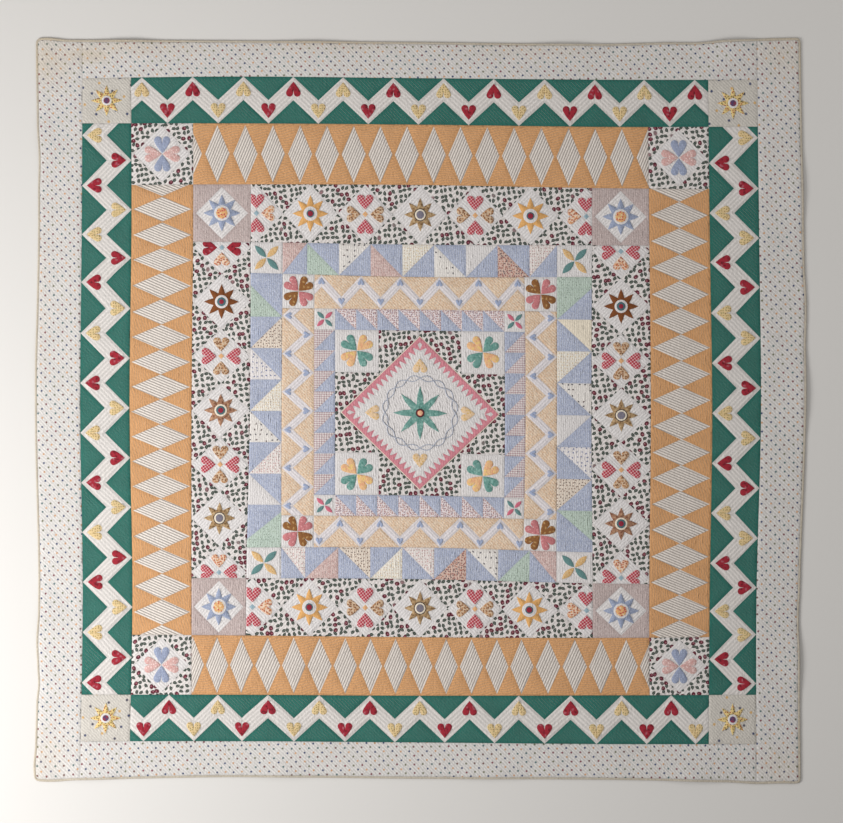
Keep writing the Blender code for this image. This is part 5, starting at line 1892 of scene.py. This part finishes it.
@dataclass
class CentreSquare:
    """The centre: a medallion on point between four corner pieces."""

    tip_margin: float = 16.0  # from the square's edge to the medallion's tip
    piping: float = 2.4  # the width of the cream line round the medallion
    band: float = 10.0  # the width of the pink band, before its teeth
    tooth: float = 23.0
    teeth: int = 15  # on each side
    ring_radius: float = 109.0  # the middle radius of the embroidered cable ring
    ring_sway: float = 8.5  # how far its two lines swing in and out
    ring_loops: int = 16  # how many times they cross
    floss: float = 2.6  # how thick an embroidered line is
    heart_out: float = 148.0  # how far a heart's middle is from the medallion's
    square: Point = (134.5, 132.5)  # a corner piece's white square
    length: float = CENTRE_RIGHT - CENTRE_LEFT
    width: float = CENTRE_TOP - CENTRE_BOTTOM

    @property
    def middle(self) -> np.ndarray:
        """The middle of the centre square."""
        return np.array((self.length / 2, self.width / 2))

    def tips(self, inset: float) -> np.ndarray:
        """The corners of a square on point, a distance inside the medallion's edge."""
        half = self.middle - self.tip_margin - inset * math.sqrt(2)
        return self.middle + np.array(((0, -1), (1, 0), (0, 1), (-1, 0))) * half

    def toothed(self) -> np.ndarray:
        """The outline of the white ground inside the toothed edging."""
        corners = self.tips(self.piping + self.band)
        outline = []
        for here, there in zip(corners, np.roll(corners, -1, axis=0)):
            step = (there - here) / (self.teeth + 1)
            inwards = self.middle - (here + there) / 2
            inwards = inwards / np.hypot(*inwards)
            for number in range(self.teeth + 1):
                base = here + step * number
                outline.append(base + step * (0.40 if number else 0.15) + inwards * 2)
                outline.append(base + step * (0.60 if number < self.teeth else 0.85) + inwards * 2)
                if number < self.teeth:
                    outline.append(base + step + inwards * self.tooth)
        return np.array(outline)

    def medallion(self) -> None:
        """Builds the medallion with its edging, hearts, star and embroidered ring."""
        shape = Frame(self.length, self.width, (CENTRE_LEFT, CENTRE_TOP), (1, 0), (0, -1))
        side = float(np.hypot(*(self.tips(0)[1] - self.tips(0)[0]))) * METRES
        outline = self.tips(SEAM_GAP / 2)
        panel = Panel("centre_medallion", shape, EDGING_CREAM, None, outline, flat=(side, side))
        panel.patch(self.tips(self.piping), EDGING_PINK, Quilting(90, 7.0))
        panel.patch(self.toothed(), WHITE, Quilting(100, 7.5, 2.4, 50.0, 2.0))
        for x, y in ((0, 1), (0, -1), (-1, 0), (1, 0)):
            out = shape.turn(x, y)
            sew_heart(panel, self.middle + out * self.heart_out, out, HEART_GOLD, 44, 46)
        panel.applique(star_outline(self.middle, 8, 84, 28, 3.0), self.middle, HEART_GREEN, 0.6, 0.0, ())
        for radius, cotton, sits in ((14, UMBER, 0.5), (10.5, DEEP_RED, 0.75), (8, PEACH, 0.95)):
            disc = disc_outline(self.middle, radius)
            panel.applique(disc, self.middle, cotton, 0.3, sits, (0.5,) if cotton is PEACH else ())
        panel.build()
        self.ring(shape)

    def ring(self, shape: Frame) -> None:
        """Embroiders the cable ring: two corded lines of floss that weave over and under each other."""
        sections, around = 30 * self.ring_loops, 6
        angles = np.linspace(0, 2 * np.pi, sections, endpoint=False)
        turn = 2 * np.pi * np.arange(around) / around
        spots, heights, faces = [], [], []
        for way in (1, -1):
            radius = self.ring_radius + self.ring_sway * np.sin(angles * self.ring_loops / 2) * way
            line = self.middle + radius[:, None] * np.column_stack((np.cos(angles), np.sin(angles)))
            height = CROWN + 1.2 + 0.5 * np.cos(angles * self.ring_loops / 2) * way
            ahead = np.roll(line, -1, axis=0) - np.roll(line, 1, axis=0)
            ahead /= np.hypot(ahead[:, 0], ahead[:, 1])[:, None]
            aside = np.column_stack((-ahead[:, 1], ahead[:, 0]))
            round_line = self.floss / 2 * np.cos(turn)[None, :, None] * aside[:, None, :]
            faces += tube(sections, around, len(faces), closed=True)
            spots.append((line[:, None, :] + round_line).reshape(-1, 2))
            heights.append((height[:, None] + self.floss * 0.4 * np.sin(turn)).ravel())
        layout = shape.place(np.concatenate(spots))
        mesh = cloth_mesh("medallion_cable_ring", layout, np.concatenate(heights), faces, [FLOSS])
        place_object(mesh)

    def corner(self, corner: Corner) -> None:
        """Builds one corner piece: a white square with four hearts, between two print triangles."""
        reach_s, reach_t = self.middle
        start = (CENTRE_LEFT if corner.left else CENTRE_RIGHT, CENTRE_TOP if corner.top else CENTRE_BOTTOM)
        half, edge = SEAM_GAP / 2, self.tip_margin
        slope = (reach_t - edge) / (reach_s - edge)
        cut_s, cut_t = reach_s - half, reach_t - half
        outline = np.array((
            (half, half), (cut_s, half), (cut_s, edge - half - half * slope),
            (edge - half - half / slope, cut_t), (half, cut_t),
        ))
        panel = Panel("centre_corner_" + corner.value, Frame(reach_s, reach_t, start, *corner.ways), BERRY,
                      Quilting(90, 8.0), outline, area=polygon_area(outline) * METRES ** 2)
        square_s, square_t = self.square
        square = [(half, half), (square_s, half), (square_s - half, square_t - half), (half, square_t)]
        panel.patch(square, WHITE, Quilting(90, 7.0))
        middle = np.array((square_s / 2, square_t / 2 - 1.5))
        sew_four(panel, middle, diagonal_cottons(corner, HEART_GREEN, HEART_ORANGE), 27.0, 52.0, 49.0)
        panel.build()

    def build(self) -> None:
        """Builds the centre."""
        self.medallion()
        for corner in Corner:
            self.corner(corner)


@dataclass
class OuterBorder:
    """The wide dotted border round the patchwork."""

    binding_gap: float = 0.15  # between it and the binding

    def build(self) -> None:
        """Builds its four strips, inside the binding."""
        inner, half = BINDING_WIDTH + self.binding_gap, SEAM_GAP / 2
        for side in Side:
            shape = strip_frame(OUTER, side)
            low_s = half if side.level else inner
            outline = np.array((
                (low_s, inner), (shape.length - low_s, inner),
                (shape.length - low_s, shape.width - half), (low_s, shape.width - half),
            ))
            cut = ((shape.width - inner) * METRES, (shape.length - 2 * low_s) * METRES)
            panel = Panel("outer_" + side.value, shape, DOTTED, Quilting(-45, 8.0, 0.8, depth=1.6), outline,
                          lifted=True, flat=cut)
            panel.build()


@dataclass
class Binding:
    """The narrow binding: a strip of cotton folded over the quilt's edge, with mitred ends."""

    thickness: float = 0.8  # two layers of cotton
    step: float = 8.0  # how far apart its sections are
    mitre_gap: float = 0.4  # between two ends
    # The fold's outside, as how far in from the edge and how high.
    section: tuple[Point, ...] = (
        (6.85, 0.0), (3.6, 0.0), (1.2, 0.15), (0.35, 0.9), (0.0, 2.2), (0.35, 3.5), (1.3, 4.4), (2.9, 4.7),
        (5.0, 4.5), (6.85, 4.0),
    )

    def loop(self) -> np.ndarray:
        """The closed section: the fold's outside, and its inside a thickness further in."""
        outside = np.array(self.section)
        before, after = np.roll(outside, 1, axis=0), np.roll(outside, -1, axis=0)
        before[0], after[-1] = outside[0], outside[-1]
        run = after - before
        run /= np.hypot(run[:, 0], run[:, 1])[:, None]
        within = outside + np.column_stack((run[:, 1], -run[:, 0])) * self.thickness
        within[:, 0] = np.minimum(within[:, 0], self.section[0][0])
        return np.concatenate((outside, within[::-1]))

    def strip(self, side: Side) -> None:
        """Builds one side."""
        shape = side_frame(side, OUTER, OUTER, BINDING_WIDTH)
        length, loop = shape.length, self.loop()
        stations = np.linspace(0, length, round(length / self.step) + 1)
        stations = np.sort(np.concatenate((stations, (3.0, 5.5, length - 5.5, length - 3.0))))
        mitre = loop[:, 0] + self.mitre_gap / 2
        s = np.clip(stations[:, None], mitre[None, :], length - mitre[None, :])
        count, around = len(stations), len(loop)
        layout = shape.place(np.column_stack((s.ravel(), np.tile(loop[:, 0], count))))
        pucker = 0.12 * np.sin(np.repeat(stations, around) / 9.0) * np.tile(loop[:, 1] > 3.0, count)
        heights = np.tile(loop[:, 1], count) + pucker + lift(layout)
        last = (count - 1) * around
        faces = tube(count, around)
        faces += [tuple(range(around - 1, -1, -1)), tuple(range(last, last + around))]
        if shape.turns_over:
            faces = [tuple(reversed(face)) for face in faces]
        node = "binding_" + side.value
        thing = place_object(cloth_mesh(node + "_folded", layout, heights, faces, [BINDING_WHITE]), node)
        LOG.info("%s: %d faces", node, len(faces))

    def build(self) -> None:
        """Builds the four sides."""
        for side in Side:
            self.strip(side)


@dataclass
class Studio:
    """A plain pale floor, soft light and the camera, straight above the quilt."""

    lens: float = 85.0  # the camera's focal length, in millimetres
    height: float = 6.17  # how high the camera is, in metres
    aim: Point = (0.0036, -0.0021)  # the point under it, in metres
    floor_size: float = 14.0  # the floor's side, in metres
    floor_paint: str = "#c9c6c2"
    floor_drop: float = 0.0004  # how far it is under the quilt, in metres
    room_light: float = 0.335  # the strength of the light from all round

    def floor(self) -> None:
        """Lays a matt painted floor just under the quilt."""
        half = self.floor_size / 2
        mesh = bpy.data.meshes.new("studio_floor")
        corners = [(x * half, y * half, -self.floor_drop) for x, y in ((-1, -1), (1, -1), (1, 1), (-1, 1))]
        mesh.from_pydata(corners, [], [(0, 1, 2, 3)])
        material = bpy.data.materials.new("matt_floor_paint")
        material.use_nodes = True
        shader = material.node_tree.nodes["Principled BSDF"]
        shader.inputs["Base Color"].default_value = hex_linear(self.floor_paint)
        shader.inputs["Roughness"].default_value = 0.9
        mesh.materials.append(material)
        floor = bpy.data.objects.new("studio_floor", mesh)
        bpy.context.scene.collection.objects.link(floor)

    def lamp(self, name: str, place: Point, height: float, size: float, power: float) -> None:
        """Hangs one soft square lamp, turned to the quilt's middle.

        Args:
            name: Its name.
            place: Where it hangs, in metres.
            height: How high it hangs, in metres.
            size: Its side, in metres.
            power: Its power, in watts.
        """
        light = bpy.data.lights.new(name, "AREA")
        light.size = size
        light.energy = power
        lamp = bpy.data.objects.new(name, light)
        lamp.location = (place[0], place[1], height)
        lamp.rotation_euler = (-Vector(lamp.location)).to_track_quat("-Z", "Y").to_euler()
        bpy.context.scene.collection.objects.link(lamp)

    def build(self) -> None:
        """Sets up the studio."""
        self.floor()
        self.lamp("window_light", (-3.3, -1.25), 2.3, 1.8, 190.0)
        self.lamp("fill_light", (3.0, 1.6), 3.2, 3.0, 32.0)
        self.lamp("back_light", (-1.6, 3.2), 3.0, 2.4, 28.0)
        world = bpy.data.worlds.new("soft_room_light")
        world.use_nodes = True
        world.node_tree.nodes["Background"].inputs["Color"].default_value = (1.0, 0.99, 0.98, 1.0)
        world.node_tree.nodes["Background"].inputs["Strength"].default_value = self.room_light
        bpy.context.scene.world = world
        bpy.context.scene.view_settings.view_transform = "Standard"
        lens = bpy.data.cameras.new("copy_stand_camera")
        lens.lens = self.lens
        camera = bpy.data.objects.new("copy_stand_camera", lens)
        camera.location = (self.aim[0], self.aim[1], self.height)
        bpy.context.scene.collection.objects.link(camera)
        bpy.context.scene.camera = camera


def main() -> None:
    """Builds the whole quilt, from the studio and the outside in."""
    logging.basicConfig(level=logging.INFO, format="%(message)s")
    Studio().build()
    for part in (Binding(), OuterBorder(), GreenBorder(), OrangeBorder(), StarBorder(), BlueBorder(),
                 YellowBorder(), ToothBorder(), CentreSquare()):
        part.build()
        LOG.info("%s is finished", type(part).__name__)


if __name__ == "__main__":
    main()
